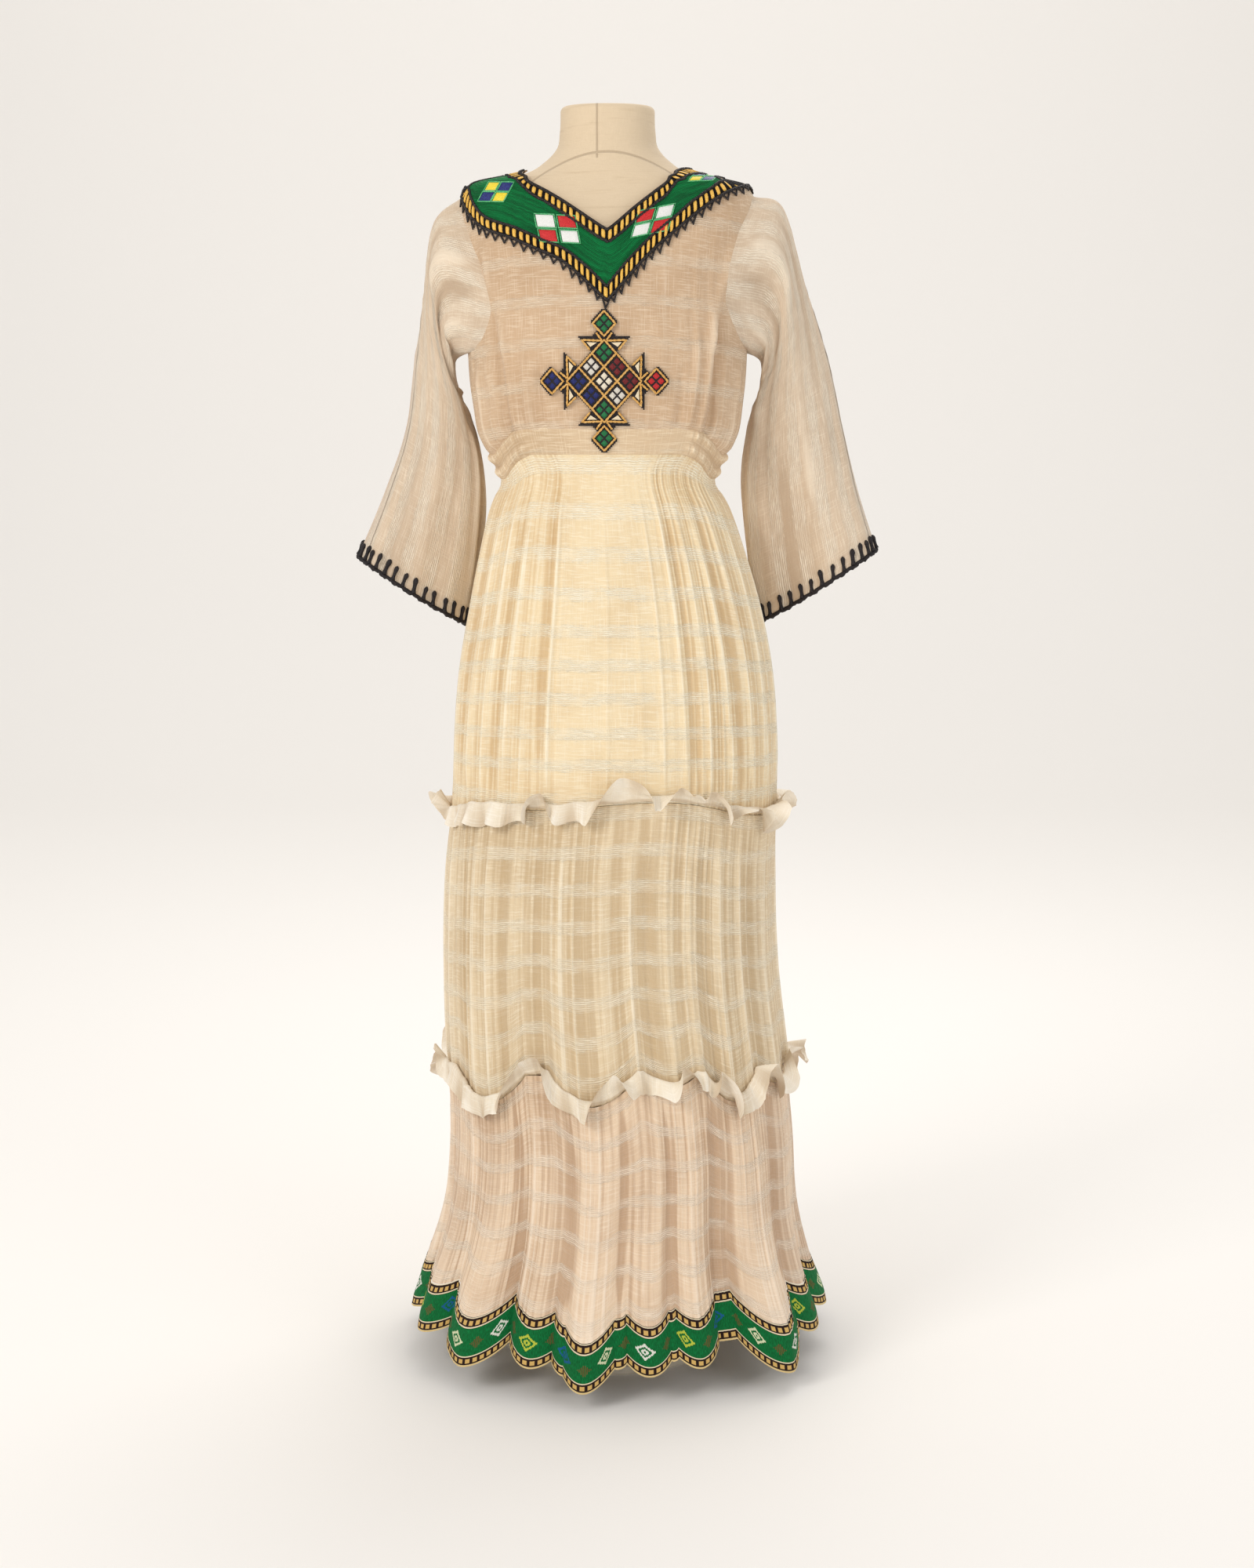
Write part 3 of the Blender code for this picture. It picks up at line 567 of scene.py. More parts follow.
def gauze(name, ground, flank, band, deep, pitch, first, half, share=0.5, lengthwise=False):
    """Cotton gauze with bands of denser white weft, which are pitch apart.

    A band is a few rows of slubby threads with gaps. Each piece's fold shading paints its colour. Hollows
    take the deep colour as painted shade. Crests take the band colour, partly for cloth folded over itself
    and partly as a painted highlight."""
    cloth = Finish(name, roughness=0.92, sheen_weight=0.10)
    u, v = cloth.cloth_place()
    painted_fold_shading = cloth.shade("painted_fold_shading")
    along, across = (v, u) if lengthwise else (u, v)
    drift = ((cloth.noise(along * 8, across * 5) - 0.5) * 0.006
             + (cloth.noise(along * 60, across * 9) - 0.5) * 0.003)
    away = abs(((across + drift - first) / pitch + 0.5).fract() - 0.5) * pitch
    frayed = (cloth.noise(along * 160, across * 700, detail=3.0) - 0.5) * 0.008
    dense = 1 - (away + frayed).ramp(half - 0.0022, half + 0.0022)
    threads = ((across + drift) / 0.0024 * 2 * math.pi).sine() * 0.22 + cloth.noise(along * 110, across * 420)
    knots = cloth.noise(along * 34, across * 60, detail=3.0).ramp(0.36, 0.58)
    dense = dense * (threads.ramp(0.34, 0.72) * 0.75 + 0.25) * (knots * 0.6 + 0.4)
    weft = cloth.noise(along * 45, (across + drift) * 620, detail=3.0)
    warp = cloth.noise(along * 900, across * 26)
    cloud = cloth.noise(along * 12, across * 10, detail=3.0)
    plain = cloth.mix(abs(u).ramp(0.10, 0.30), ground, flank)
    plain = cloth.mix(cloud.ramp(0.42, 0.66) * 0.30, plain, deep)
    plain = cloth.mix(weft.ramp(0.48, 0.66) * 0.40, plain, band)
    plain = cloth.mix(warp.ramp(0.52, 0.68) * 0.30, plain, band)
    # Painted shade: hollows of folds darken towards the deep colour
    plain = cloth.mix((0 - painted_fold_shading).ramp(0.05, 0.9) * 0.62, plain, deep)
    # Crests lighten towards the band colour: partly sheer cloth doubled over itself, partly painted highlight
    plain = cloth.mix(painted_fold_shading.ramp(0.25, 0.95) * 0.55, plain, band)
    colour = cloth.mix(dense * share, plain, band)
    return cloth.feed(colour, dense * 0.7 + weft * 0.5 + warp * 0.3, 0.0015, 0.9)


BODICE_GAUZE = gauze("bodice_gauze", linear(205, 174, 141), linear(213, 190, 161), linear(240, 220, 194),
                     linear(174, 141, 108), 0.0480, 0.016, 0.0062, 0.80)
BODICE_COLUMNS = 241

side_rows = np.concatenate([
    np.linspace(read(NECKLINE, "inner", 90.0), read(NECKLINE, "outer", 90.0), 9),
    UNDERARM + (SHOULDER_TIP - UNDERARM) * (0.5 + 0.5 * np.cos(np.pi * np.arange(71) / 70)),
    np.linspace(UNDERARM, WAIST_SIDE + CASING - SEAM_TUCK, 42)[1:],
])
for part, back in (("front", False), ("back", True)):
    side, step = side_rows[:, None], np.linspace(-1, 1, BODICE_COLUMNS)[None, :]
    angle, z = bodice_place(side, step, back)
    points, _ = on_bodice(angle, z)
    _, painted_fold_shading = bodice_relief(angle, z)
    u = np.radians(turned(angle - 180) if back else angle) * 0.15
    bow = 0.010 * np.cos(np.radians(angle) * 1.6)
    panel = add_mesh("cloth_bodice_" + part, points, grid_faces(*angle.shape), BODICE_GAUZE,
                     np.stack([u, 1.40 - z + bow], -1), {"painted_fold_shading": painted_fold_shading})
    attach(panel, "root")
    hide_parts("bodice_" + part)


# Waist casing
# A channel of gauze round the waist. A plain flat strip lies over the centre
# front, and two rows of elastic draw the rest up into small round puffs.
PUFF = 0.0048             # how far a puff stands out
PUFF_PITCH = 0.0092       # from one puff to the next round the waist
CASING_GAUZE = gauze("casing_gauze", linear(216, 190, 156), linear(218, 192, 160), linear(250, 234, 206),
                     linear(172, 140, 104), 0.0500, 0.025, 0.0010)
CASING_ROWS = 29
CASING_COLUMNS = 441
for part, back in (("front", False), ("back", True)):
    share = np.linspace(1, 0, CASING_ROWS)[:, None]
    turn = np.linspace(-1, 1, CASING_COLUMNS)[None, :] * (90 - SIDE_SEAM)
    angle = np.broadcast_to(turned(180 + turn) if back else turn, (CASING_ROWS, CASING_COLUMNS))
    z = waist_seam(angle) - 0.0010 + (CASING + 0.0020) * share
    arc = np.radians(turned(angle)) * 0.115
    loose = smooth((np.abs(turned(angle)) - WAIST_FLAT) / 7)
    puff = gathers(arc, share * 0.02, PUFF_PITCH, 3, 0.60, 0.4)
    rows_of_puffs = np.sin(2 * math.pi * share) ** 2
    ends = 0.0008 * loose - 0.0016 * (1 - smooth(share / 0.12) * smooth((1 - share) / 0.12))
    relief = PUFF * (0.15 + puff) * rows_of_puffs * loose + ends
    welt = 0.0008 * np.exp(-((share - 0.06) / 0.05) ** 2) * (1 - loose)
    points, out = on_table(BODICE, angle, z)
    points = points + out * (relief + welt)[..., None]
    # Painted shading: puffs lighter on their crests and darker between them, and painted shade along the
    # lower edge of the flat front strip
    painted_fold_shading = loose * (2.6 * puff * rows_of_puffs - 0.55) - (1 - loose) * np.exp(-(share / 0.05) ** 2)
    casing = add_mesh("cloth_casing_" + part, points, grid_faces(*angle.shape), CASING_GAUZE,
                      np.stack([arc, 0.02 + 0.03 * share + 0 * arc], -1), {"painted_fold_shading": painted_fold_shading})
    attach(casing, "root")
    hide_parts("waist_casing_" + part)


# Skirt tiers
# Three tiers of the same gauze, each wider than the one above and gathered on
# to it, so fine gathers and a few larger folds run down from every seam. The
# hem opens out in deep flutes.
TIER_1_END = 0.711
TIER_2_END = 0.378
TIER_1_WAVE = (0.004, 5)  # rise and fall of the first tier's end, and how often round the body
TIER_2_LIFT = 0.012       # how far the second tier's end is above its height between the sags
SIDE_DROP = {1: 0.026, 2: 0.021}         # how much lower each tier ends at the sides
HEM = 0.066               # hem height in the valleys between its flutes
BORDER = 0.058            # woven border at the hem
FLUTE_START = 0.438       # flutes open out from here down to the hem
FLUTE_CURVE = 2.2         # higher keeps them closed for longer
FLUTE_SPREAD = 1.25       # a flute's foot, as a share of its half width
FLUTE_BLUNT = 0.85        # lower is a rounder crest
SEAM = 0.0005             # gap between two pieces that are sewn edge to edge

SKIRT = table("height half_width front back shift", [
    (1.119, 0.1310, 0.1000, 0.0950, 0.000),
    (1.088, 0.1300, 0.0990, 0.0950, 0.000),
    (1.053, 0.1450, 0.1080, 0.1050, 0.002),
    (1.003, 0.1600, 0.1190, 0.1170, 0.005),
    (0.938, 0.1760, 0.1310, 0.1310, 0.008),
    (0.858, 0.1910, 0.1430, 0.1430, 0.009),
    (0.778, 0.1975, 0.1500, 0.1500, 0.009),
    (0.711, 0.1990, 0.1540, 0.1540, 0.008),
    (0.618, 0.2005, 0.1610, 0.1610, 0.002),
    (0.498, 0.2040, 0.1700, 0.1700, 0.002),
    (0.378, 0.2100, 0.1790, 0.1790, 0.010),
    (0.278, 0.2115, 0.1840, 0.1840, 0.017),
    (0.178, 0.2170, 0.1920, 0.1920, 0.015),
    (0.108, 0.2330, 0.2060, 0.2060, 0.012),
    (0.066, 0.2440, 0.2150, 0.2150, 0.012),
    (0.018, 0.2510, 0.2200, 0.2200, 0.012),
])

# Flutes of the hem: angle, how far out, how far down, half width
FLUTES = table("angle out drop half", [
    (-158, 0.024, 0.026, 10),
    (-135, 0.030, 0.034, 11),
    (-110, 0.022, 0.020, 10),
    (-86, 0.014, 0.012, 9),
    (-65, 0.020, 0.016, 9),
    (-42, 0.028, 0.032, 10),
    (-21, 0.021, 0.022, 7),
    (-7, 0.034, 0.043, 7),
    (7, 0.022, 0.028, 6),
    (20, 0.020, 0.022, 6),
    (46, 0.034, 0.042, 10),
    (66, 0.018, 0.018, 8),
    (88, 0.016, 0.014, 9),
    (111, 0.025, 0.026, 10),
    (134, 0.022, 0.024, 9),
    (155, 0.032, 0.036, 10),
    (180, 0.026, 0.028, 9),
])

# Where the seam over the lowest tier sags between its folds
SAGS = table("angle drop half", [
    (-140, 0.026, 14),
    (-98, 0.018, 12),
    (-46, 0.034, 14),
    (-7, 0.038, 10),
    (16, 0.014, 7),
    (39, 0.032, 9),
    (66, 0.016, 10),
    (112, 0.028, 12),
    (158, 0.024, 14),
])

# Larger folds of each tier
TIER_FOLDS = {
    1: table("angle top low lean width rise", [
        (-20, 1.120, 0.715, -2, 1.0, 0.0044),
        (-23, 1.115, 0.760, -2, 1.6, -0.0030),
        (-28, 1.110, 0.715, -4, 1.3, 0.0040),
        (-35, 1.105, 0.715, -6, 1.5, 0.0044),
        (-40, 1.100, 0.720, -6, 1.6, -0.0034),
        (-46, 1.100, 0.715, -6, 1.6, 0.0046),
        (-58, 1.095, 0.715, -4, 2.0, 0.0046),
        (-66, 1.095, 0.740, -4, 2.0, -0.0040),
        (-74, 1.092, 0.715, -2, 2.0, 0.0044),
        (-2, 1.080, 0.715, 0, 0.8, 0.0022),
        (7, 1.000, 0.715, 1, 1.0, 0.0018),
        (13, 1.118, 0.715, 2, 0.9, 0.0036),
        (20, 1.119, 0.715, 3, 1.0, 0.0048),
        (24, 1.112, 0.740, 3, 1.5, -0.0032),
        (29, 1.110, 0.715, 4, 1.2, 0.0040),
        (37, 1.102, 0.715, 6, 1.5, 0.0046),
        (42, 1.100, 0.730, 6, 1.6, -0.0034),
        (49, 1.098, 0.715, 6, 1.6, 0.0044),
        (61, 1.094, 0.715, 4, 2.0, 0.0046),
        (77, 1.092, 0.715, 2, 2.0, 0.0044),
        (104, 1.090, 0.715, -2, 2.2, 0.0048),
        (123, 1.090, 0.715, -4, 2.0, 0.0044),
        (131, 1.090, 0.730, -4, 2.0, -0.0038),
        (143, 1.090, 0.715, -3, 1.8, 0.0046),
        (162, 1.090, 0.715, -1, 1.6, 0.0042),
        (180, 1.090, 0.715, 1, 1.8, 0.0040),
        (-160, 1.090, 0.715, 2, 1.8, 0.0046),
        (-141, 1.090, 0.715, 3, 1.8, 0.0044),
        (-132, 1.090, 0.730, 4, 2.0, -0.0038),
        (-121, 1.090, 0.715, 4, 2.0, 0.0048),
        (-102, 1.090, 0.715, 2, 2.2, 0.0044),
    ]),
    2: table("angle top low lean width rise", [
        (-72, 0.710, 0.345, 2, 2.2, 0.0046),
        (-60, 0.700, 0.350, 1, 1.6, -0.0036),
        (-52, 0.708, 0.345, -1, 1.4, 0.0042),
        (-44, 0.706, 0.345, 0, 1.3, 0.0046),
        (-37, 0.700, 0.350, 0, 1.8, -0.0032),
        (-30, 0.706, 0.350, -1, 1.2, 0.0044),
        (-22, 0.700, 0.350, -1, 1.8, -0.0034),
        (-14, 0.706, 0.345, -1, 1.2, 0.0048),
        (-8, 0.700, 0.345, 1, 1.6, -0.0030),
        (-2, 0.706, 0.345, 1, 1.0, 0.0040),
        (5, 0.706, 0.350, 1, 1.2, 0.0046),
        (11, 0.700, 0.350, 1, 1.6, -0.0034),
        (17, 0.706, 0.350, 1, 1.1, 0.0046),
        (25, 0.706, 0.345, 2, 1.3, 0.0042),
        (31, 0.700, 0.350, 2, 1.9, -0.0034),
        (38, 0.706, 0.345, 1, 1.4, 0.0048),
        (48, 0.706, 0.345, 1, 1.4, 0.0044),
        (56, 0.700, 0.350, 0, 2.0, -0.0038),
        (66, 0.706, 0.345, -1, 1.8, 0.0048),
        (84, 0.706, 0.345, 0, 2.2, 0.0044),
        (102, 0.700, 0.350, 1, 2.2, -0.0038),
        (114, 0.706, 0.345, 1, 1.8, 0.0048),
        (130, 0.706, 0.345, 0, 1.7, 0.0044),
        (147, 0.706, 0.345, -1, 1.6, 0.0046),
        (158, 0.700, 0.350, -1, 2.0, -0.0036),
        (170, 0.706, 0.345, 1, 1.6, 0.0046),
        (-171, 0.706, 0.345, -1, 1.6, 0.0044),
        (-156, 0.706, 0.345, 1, 1.7, 0.0046),
        (-144, 0.700, 0.350, 0, 2.0, -0.0038),
        (-130, 0.706, 0.345, 0, 1.8, 0.0048),
        (-112, 0.706, 0.345, -1, 1.8, 0.0044),
        (-94, 0.706, 0.345, 1, 2.2, 0.0044),
    ]),
    3: table("angle top low lean width rise", [
        (-78, 0.375, 0.120, -2, 2.2, 0.0046),
        (-56, 0.370, 0.120, 2, 1.6, 0.0042),
        (-34, 0.370, 0.120, 3, 1.5, -0.0044),
        (-26, 0.365, 0.110, -1, 1.3, 0.0040),
        (-14, 0.350, 0.115, 1, 1.4, -0.0046),
        (1, 0.365, 0.125, -1, 1.3, -0.0042),
        (13, 0.375, 0.130, 1, 1.3, -0.0042),
        (30, 0.370, 0.130, -2, 2.2, -0.0050),
        (58, 0.370, 0.120, -2, 1.6, -0.0042),
        (76, 0.370, 0.120, 1, 2.0, 0.0042),
        (100, 0.370, 0.120, -1, 2.0, -0.0044),
        (122, 0.370, 0.120, 1, 1.8, -0.0044),
        (145, 0.370, 0.120, -1, 1.8, -0.0044),
        (168, 0.370, 0.120, 1, 1.8, -0.0044),
        (-146, 0.370, 0.120, 1, 1.8, -0.0044),
        (-122, 0.370, 0.120, -1, 1.8, -0.0044),
        (-98, 0.370, 0.120, 1, 2.0, -0.0044),
    ]),
}


def bumps(tab, name, angle):
    """Sum of the soft bumps that a table places round the body."""
    total = np.zeros(np.shape(angle))
    for centre, height, half in zip(tab["angle"], tab[name], tab["half"]):
        away = np.abs(turned(angle - centre)) / (FLUTE_SPREAD * half)
        total += height * np.cos(np.minimum(away, 1) * math.pi / 2) ** FLUTE_BLUNT
    return total


def side_drop(tier, angle):
    return SIDE_DROP[tier] * np.sin(np.radians(angle)) ** 2


def tier_1_end(angle):
    rise, times = TIER_1_WAVE
    return TIER_1_END + rise * np.sin(np.radians(times * angle)) - side_drop(1, angle)


def tier_2_end(angle):
    return TIER_2_END + TIER_2_LIFT - bumps(SAGS, "drop", angle) - side_drop(2, angle)


def hem_end(angle):
    return HEM - bumps(FLUTES, "drop", angle)


def border_top(angle):
    return hem_end(angle) + BORDER


def on_skirt(angle, z, swell=0.0):
    """Point on the skirt with its flutes, moved out by swell, and the way out."""
    point, out = on_table(SKIRT, angle, z)
    opened = np.clip((FLUTE_START - z) / (FLUTE_START - HEM), 0, 1) ** FLUTE_CURVE
    reach = bumps(FLUTES, "out", angle) * opened + swell
    point[..., 0] += read(SKIRT, "shift", z)
    return point + out * reach[..., None], out


# Fine gathers of each tier: pitch and height of the ridges, how sharp they are,
# and the same for the broad waves under them
GATHERS = {
    1: (0.0105, 0.0026, 0.42, 0.034, 0.0020),
    2: (0.0125, 0.0028, 0.36, 0.048, 0.0030),
    3: (0.0072, 0.0026, 0.50, 0.030, 0.0034),
}


def tier_relief(tier, angle, z, share):
    """How far a tier's cloth stands out, and the painted shading of its folds at each point: lighter on
    crests, darker in hollows.
    """
    pitch, height, sharp, broad_pitch, broad_height = GATHERS[tier]
    arc = np.radians(turned(angle)) * 0.19
    fine = gathers(arc, z * 0.5, pitch, 20 + tier, sharp, 0.8)
    broad = gathers(arc, z * 0.4, broad_pitch, 30 + tier, 1.0, 1.0) - 0.45
    calm = 1.0
    if tier == 1:
        calm = 0.22 + 0.78 * smooth((np.abs(turned(angle) - 1) - 14) / 12)
    hold = smooth(share / 0.05) * 0.7 + 0.3
    hand = creases(TIER_FOLDS[tier], angle, z)
    relief = hand * 0.8 * hold + (height * (fine - 0.3) + broad_height * broad) * calm * hold
    painted_fold_shading = hand / 0.0042 + (fine * 1.9 - 0.75) * calm + broad * 0.7 * calm
    # Painted highlight on the crests of the hem's flutes and painted shade in the hollows between them
    opened = np.clip((FLUTE_START - z) / (FLUTE_START - HEM), 0, 1) ** FLUTE_CURVE
    painted_fold_shading = painted_fold_shading + (bumps(FLUTES, "out", angle) / 0.014 - 1.2) * opened
    return relief, painted_fold_shading


# Height at the centre front of each dense band of the first tier
TIER_1_BANDS = table("height band", [
    (1.160, -1), (1.107, 0), (1.053, 1), (1.003, 2), (0.957, 3), (0.914, 4),
    (0.8745, 5), (0.835, 6), (0.794, 7), (0.757, 8), (0.715, 9), (0.67, 10),
])
BAND_PITCH = 0.0440
TIER_FINISH = {
    1: gauze("tier_1_gauze", linear(238, 217, 178), linear(237, 216, 180), linear(254, 245, 222),
             linear(206, 172, 124), BAND_PITCH, 0.0, 0.0078, 0.9),
    2: gauze("tier_2_gauze", linear(224, 203, 168), linear(226, 206, 174), linear(250, 238, 214),
             linear(190, 163, 124), BAND_PITCH, 0.010, 0.0078, 0.85),
    3: gauze("tier_3_gauze", linear(231, 205, 175), linear(230, 206, 180), linear(248, 231, 210),
             linear(172, 136, 104), BAND_PITCH, 0.014, 0.0068, 0.85),
}
TIER_SPAN = {1: (waist_seam, tier_1_end), 2: (tier_1_end, tier_2_end), 3: (tier_2_end, border_top)}
TIER_LEVEL = {            # the same seams without their sags and flutes
    waist_seam: waist_seam,
    tier_1_end: tier_1_end,
    tier_2_end: lambda angle: TIER_2_END - 0.006 - side_drop(2, angle),
    border_top: lambda angle: HEM + BORDER - 0.018 + 0 * angle,
}
TIER_CUT = {1: (0.72, 0.40), 2: (0.78, 0.34), 3: (0.88, 0.29)}    # width and length of each half
TIER_ROWS = {1: 90, 2: 76, 3: 70}
TIER_COLUMNS = 441

for part, back in (("front", False), ("back", True)):
    turn = np.linspace(-1, 1, TIER_COLUMNS)[None, :] * (90 - SIDE_SEAM / 2)
    around = turned(180 + turn) if back else turn
    for tier, (top, end) in TIER_SPAN.items():
        share = np.linspace(0, 1, TIER_ROWS[tier])[:, None]
        angle = np.broadcast_to(around, (TIER_ROWS[tier], TIER_COLUMNS))
        level_top, level_end = TIER_LEVEL[top](angle), TIER_LEVEL[end](angle)
        z = (level_top - SEAM) * (1 - share) + level_end * share
        z = z + (top(angle) - level_top) * (1 - share) ** 2 + (end(angle) - level_end) * share ** 2.5
        tucked = 1 - smooth(share / 0.05) if tier == 1 else 0 * share
        z = z + SEAM_TUCK * tucked
        relief, painted_fold_shading = tier_relief(tier, angle, z, share)
        points, _ = on_skirt(angle, z, relief)
        under_casing, _ = on_table(BODICE, angle, z)
        points = points + (under_casing - points) * tucked[..., None]
        u = np.radians(turned(angle - 180) if back else angle) * 0.19
        if tier == 1:
            level = z + (WAIST_SIDE + WAIST_RISE - waist_seam(angle)) * (1 - share) * 0.8
            v = BAND_PITCH * read(TIER_1_BANDS, "band", level)
        else:
            v = share * TIER_CUT[tier][1] + 0 * angle
        panel = add_mesh("cloth_tier_%d_%s" % (tier, part), points, grid_faces(*angle.shape),
                         TIER_FINISH[tier], np.stack([u, v], -1), {"painted_fold_shading": painted_fold_shading})
        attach(panel, "root")
        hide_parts("skirt_tier_%d_%s" % (tier, part))


# Ruffled headings
# Over each of the two lower seams a strip of white gauze stands up from its
# stitching and flops forward in uneven waves.
FRILL_ROOT = 0.002        # height of a frill's stitching over the seam
FRILL_WIDE = 0.034        # from the stitching to the free edge
FRILL_WAVE = 0.019       # half of the distance between two crests of the free edge
FRILL_SWAY = 0.0046       # how far the free edge goes in and out
FRILL_ROWS = 15
FRILL_COLUMNS = 521
UPRIGHT = math.radians(80)
FLOPPED = math.radians(-84)

# Where each frill stays upright instead of flopping forward
FRILL_PEAKS = {
    1: table("angle out drop half", [
        (-82, 0.6, 0, 6), (-24, 0.9, 0, 3.5), (3, 0.9, 0, 8),
        (19, 0.7, 0, 6), (31, 0.8, 0, 6), (50, 0.6, 0, 7),
        (74, 0.8, 0, 10),
        (112, 0.5, 0, 9), (141, 0.7, 0, 7), (172, 0.6, 0, 8),
        (-157, 0.7, 0, 7), (-126, 0.5, 0, 9), (-92, 0.7, 0, 8),
    ]),
    2: table("angle out drop half", [
        (-84, 0.8, 0, 8), (-28, 0.9, 0, 8), (-2, 0.9, 0, 5),
        (20, 0.7, 0, 4), (34, 0.95, 0, 3), (53, 0.6, 0, 7),
        (80, 0.8, 0, 9), (99, 0.5, 0, 8), (134, 0.8, 0, 8),
        (176, 0.7, 0, 8), (-162, 0.6, 0, 7), (-118, 0.8, 0, 9),
    ]),
}
RUFFLE_GAUZE = gauze("ruffle_gauze", linear(240, 228, 206), linear(240, 228, 208), linear(254, 248, 236),
                     linear(196, 172, 140), 0.0440, 0.0, -0.01)
for number, seam in ((1, tier_1_end), (2, tier_2_end)):
    for part, back in (("front", False), ("back", True)):
        turn = np.linspace(-1, 1, FRILL_COLUMNS)[None, :] * (90 - SIDE_SEAM / 2)
        angle = turned(180 + turn) if back else turn
        arc = np.radians(angle) * 0.20
        upright = np.clip(bumps(FRILL_PEAKS[number], "out", angle), 0, 1)
        flop = FLOPPED + (UPRIGHT - FLOPPED) * upright + 0.20 * np.sin(arc / 0.0110 + number)
        wave = np.sin(math.pi * arc / FRILL_WAVE + 1.5 * np.sin(arc / 0.031 + number))
        lift = np.sin(math.pi * arc / FRILL_WAVE + 1.3 + 0.9 * np.sin(arc / 0.027 + 2 * number))
        uneven = 0.14 * np.sin(arc / 0.029 + number) + 0.06 * np.sin(arc / 0.0083)
        wide = FRILL_WIDE * (1 - 0.26 * upright + uneven)
        steps = np.linspace(0, 1, FRILL_ROWS)
        lean, rise, rows, folds = 0 * arc, 0 * arc, [], []
        for k, step in enumerate(steps):
            if k:
                heading = UPRIGHT + (flop - UPRIGHT) * smooth((step - 0.10) / 0.32)
                lean = lean + np.cos(heading) * wide / (FRILL_ROWS - 1)
                rise = rise + np.sin(heading) * wide / (FRILL_ROWS - 1)
            relief, _ = tier_relief(number, angle, seam(angle), np.ones_like(angle))
            swell = relief + LAYER + 0.0010 + lean + FRILL_SWAY * wave * step ** 1.4
            height = seam(angle) + FRILL_ROOT + rise + 0.0034 * lift * step
            aside = math.degrees(0.0024 / 0.2) * step * np.cos(arc / 0.0052 + number)
            point, _ = on_skirt(angle + aside, height, swell)
            rows.append(point[0])
            # Painted shading of the frill: lighter and darker along its waves, and painted shade at its root
            # by the seam
            folds.append((0.7 * wave * (0.3 + step) - 1.2 * np.exp(-(step / 0.10) ** 2))[0])
        flat = np.stack(np.broadcast_arrays(arc, steps[::-1, None] * FRILL_WIDE), -1)
        frill = add_mesh("cloth_frill_%d_%s" % (number, part), rows[::-1],
                         grid_faces(FRILL_ROWS, FRILL_COLUMNS), RUFFLE_GAUZE, flat, {"painted_fold_shading": folds[::-1]})
        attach(frill, "root")
        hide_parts("frill_%d_%s" % (number, part))


# Woven border at the hem
# A stiff ribbon with cream and black edges, rows of gold blocks and small
# woven diamonds on green. The lowest tier is gathered on to it, so it stands
# in the same flutes.
BLOCK_PITCH = 0.0095      # from one gold block to the next
MOTIF_PITCH = 0.0640      # from one diamond to the next
MOTIF_HIGH = 0.0095       # half height of a diamond
MOTIF_WIDE = 0.0135
WEAVE_STEP = 0.0012       # the motifs are stepped by single threads
BORDER_ROWS = 15
BORDER_COLUMNS = 721


def woven_border():
    """Ribbon pattern: v runs down from the ribbon's top edge."""
    ribbon = Finish("woven_border", roughness=0.8, sheen_weight=0.02, specular_ior_level=0.2)
    u, v = ribbon.cloth_place()

    def stripe(low, high):
        return v.over(low) * (1 - v.over(high))

    def blocks(low, high, shift):
        at = ((u / BLOCK_PITCH + shift).fract() - 0.5) * BLOCK_PITCH
        round_off = (abs(at) - 0.0027).most(abs(v - (low + high) / 2) - (high - low) / 2)
        return 1 - round_off.ramp(-0.0002, 0.0005)

    cell = u / MOTIF_PITCH
    across = (((cell.fract() - 0.5) * MOTIF_PITCH / WEAVE_STEP).floor() + 0.5) * WEAVE_STEP
    along = (((v - 0.0285) / WEAVE_STEP).floor() + 0.5) * WEAVE_STEP
    reach = abs(across) / MOTIF_WIDE + abs(along) / MOTIF_HIGH
    motif = (1 - reach.over(1.0)) * reach.over(0.70) + (1 - reach.over(0.42)) * reach.over(0.12)
    between = (((cell + 0.5).fract() - 0.5) * MOTIF_PITCH / WEAVE_STEP).floor() * WEAVE_STEP
    hook = abs(between) / 0.0085 + abs(along - 0.0018) / 0.0080
    hooks = (1 - hook.over(1.0)) * (abs(between / 0.0024).fract().over(0.45))
    turn = (cell.floor() * 0.25 + 8.0).fract()
    threads = ribbon.noise(u * 900, v * 220)
    tint = ribbon.mix(threads.ramp(0.35, 0.7), linear(0, 92, 42), linear(0, 120, 60))
    tint = ribbon.mix(hooks * 0.85, tint, linear(120, 72, 40))
    colour = ribbon.mix(turn.over(0.20), linear(236, 236, 226), linear(196, 204, 70))
    colour = ribbon.mix(turn.over(0.45), colour, linear(24, 92, 150))
    colour = ribbon.mix(turn.over(0.70), colour, linear(226, 230, 190))
    tint = ribbon.mix(motif.least(1.0) * 0.9, tint, colour)
    cream, gold, dark = linear(232, 216, 184), linear(214, 176, 104), linear(38, 20, 16)
    tint = ribbon.mix(stripe(-1.0, 0.0128), tint, dark)
    tint = ribbon.mix(blocks(0.0040, 0.0090, 0.0), tint, gold)
    tint = ribbon.mix(stripe(-1.0, 0.0012), tint, cream)
    tint = ribbon.mix(stripe(0.0108, 0.0124), tint, cream)
    tint = ribbon.mix(stripe(0.0452, 0.0600), tint, dark)
    tint = ribbon.mix(stripe(0.0452, 0.0466), tint, cream)
    tint = ribbon.mix(blocks(0.0490, 0.0538, 0.5), tint, gold)
    tint = ribbon.mix(stripe(0.0558, 0.0700), tint, linear(222, 196, 140))
    ribs = (v / 0.0011 * 2 * math.pi).sine() * 0.3 + threads
    return ribbon.feed(tint, ribs + motif + hooks * 0.5, 0.0006, 0.7)


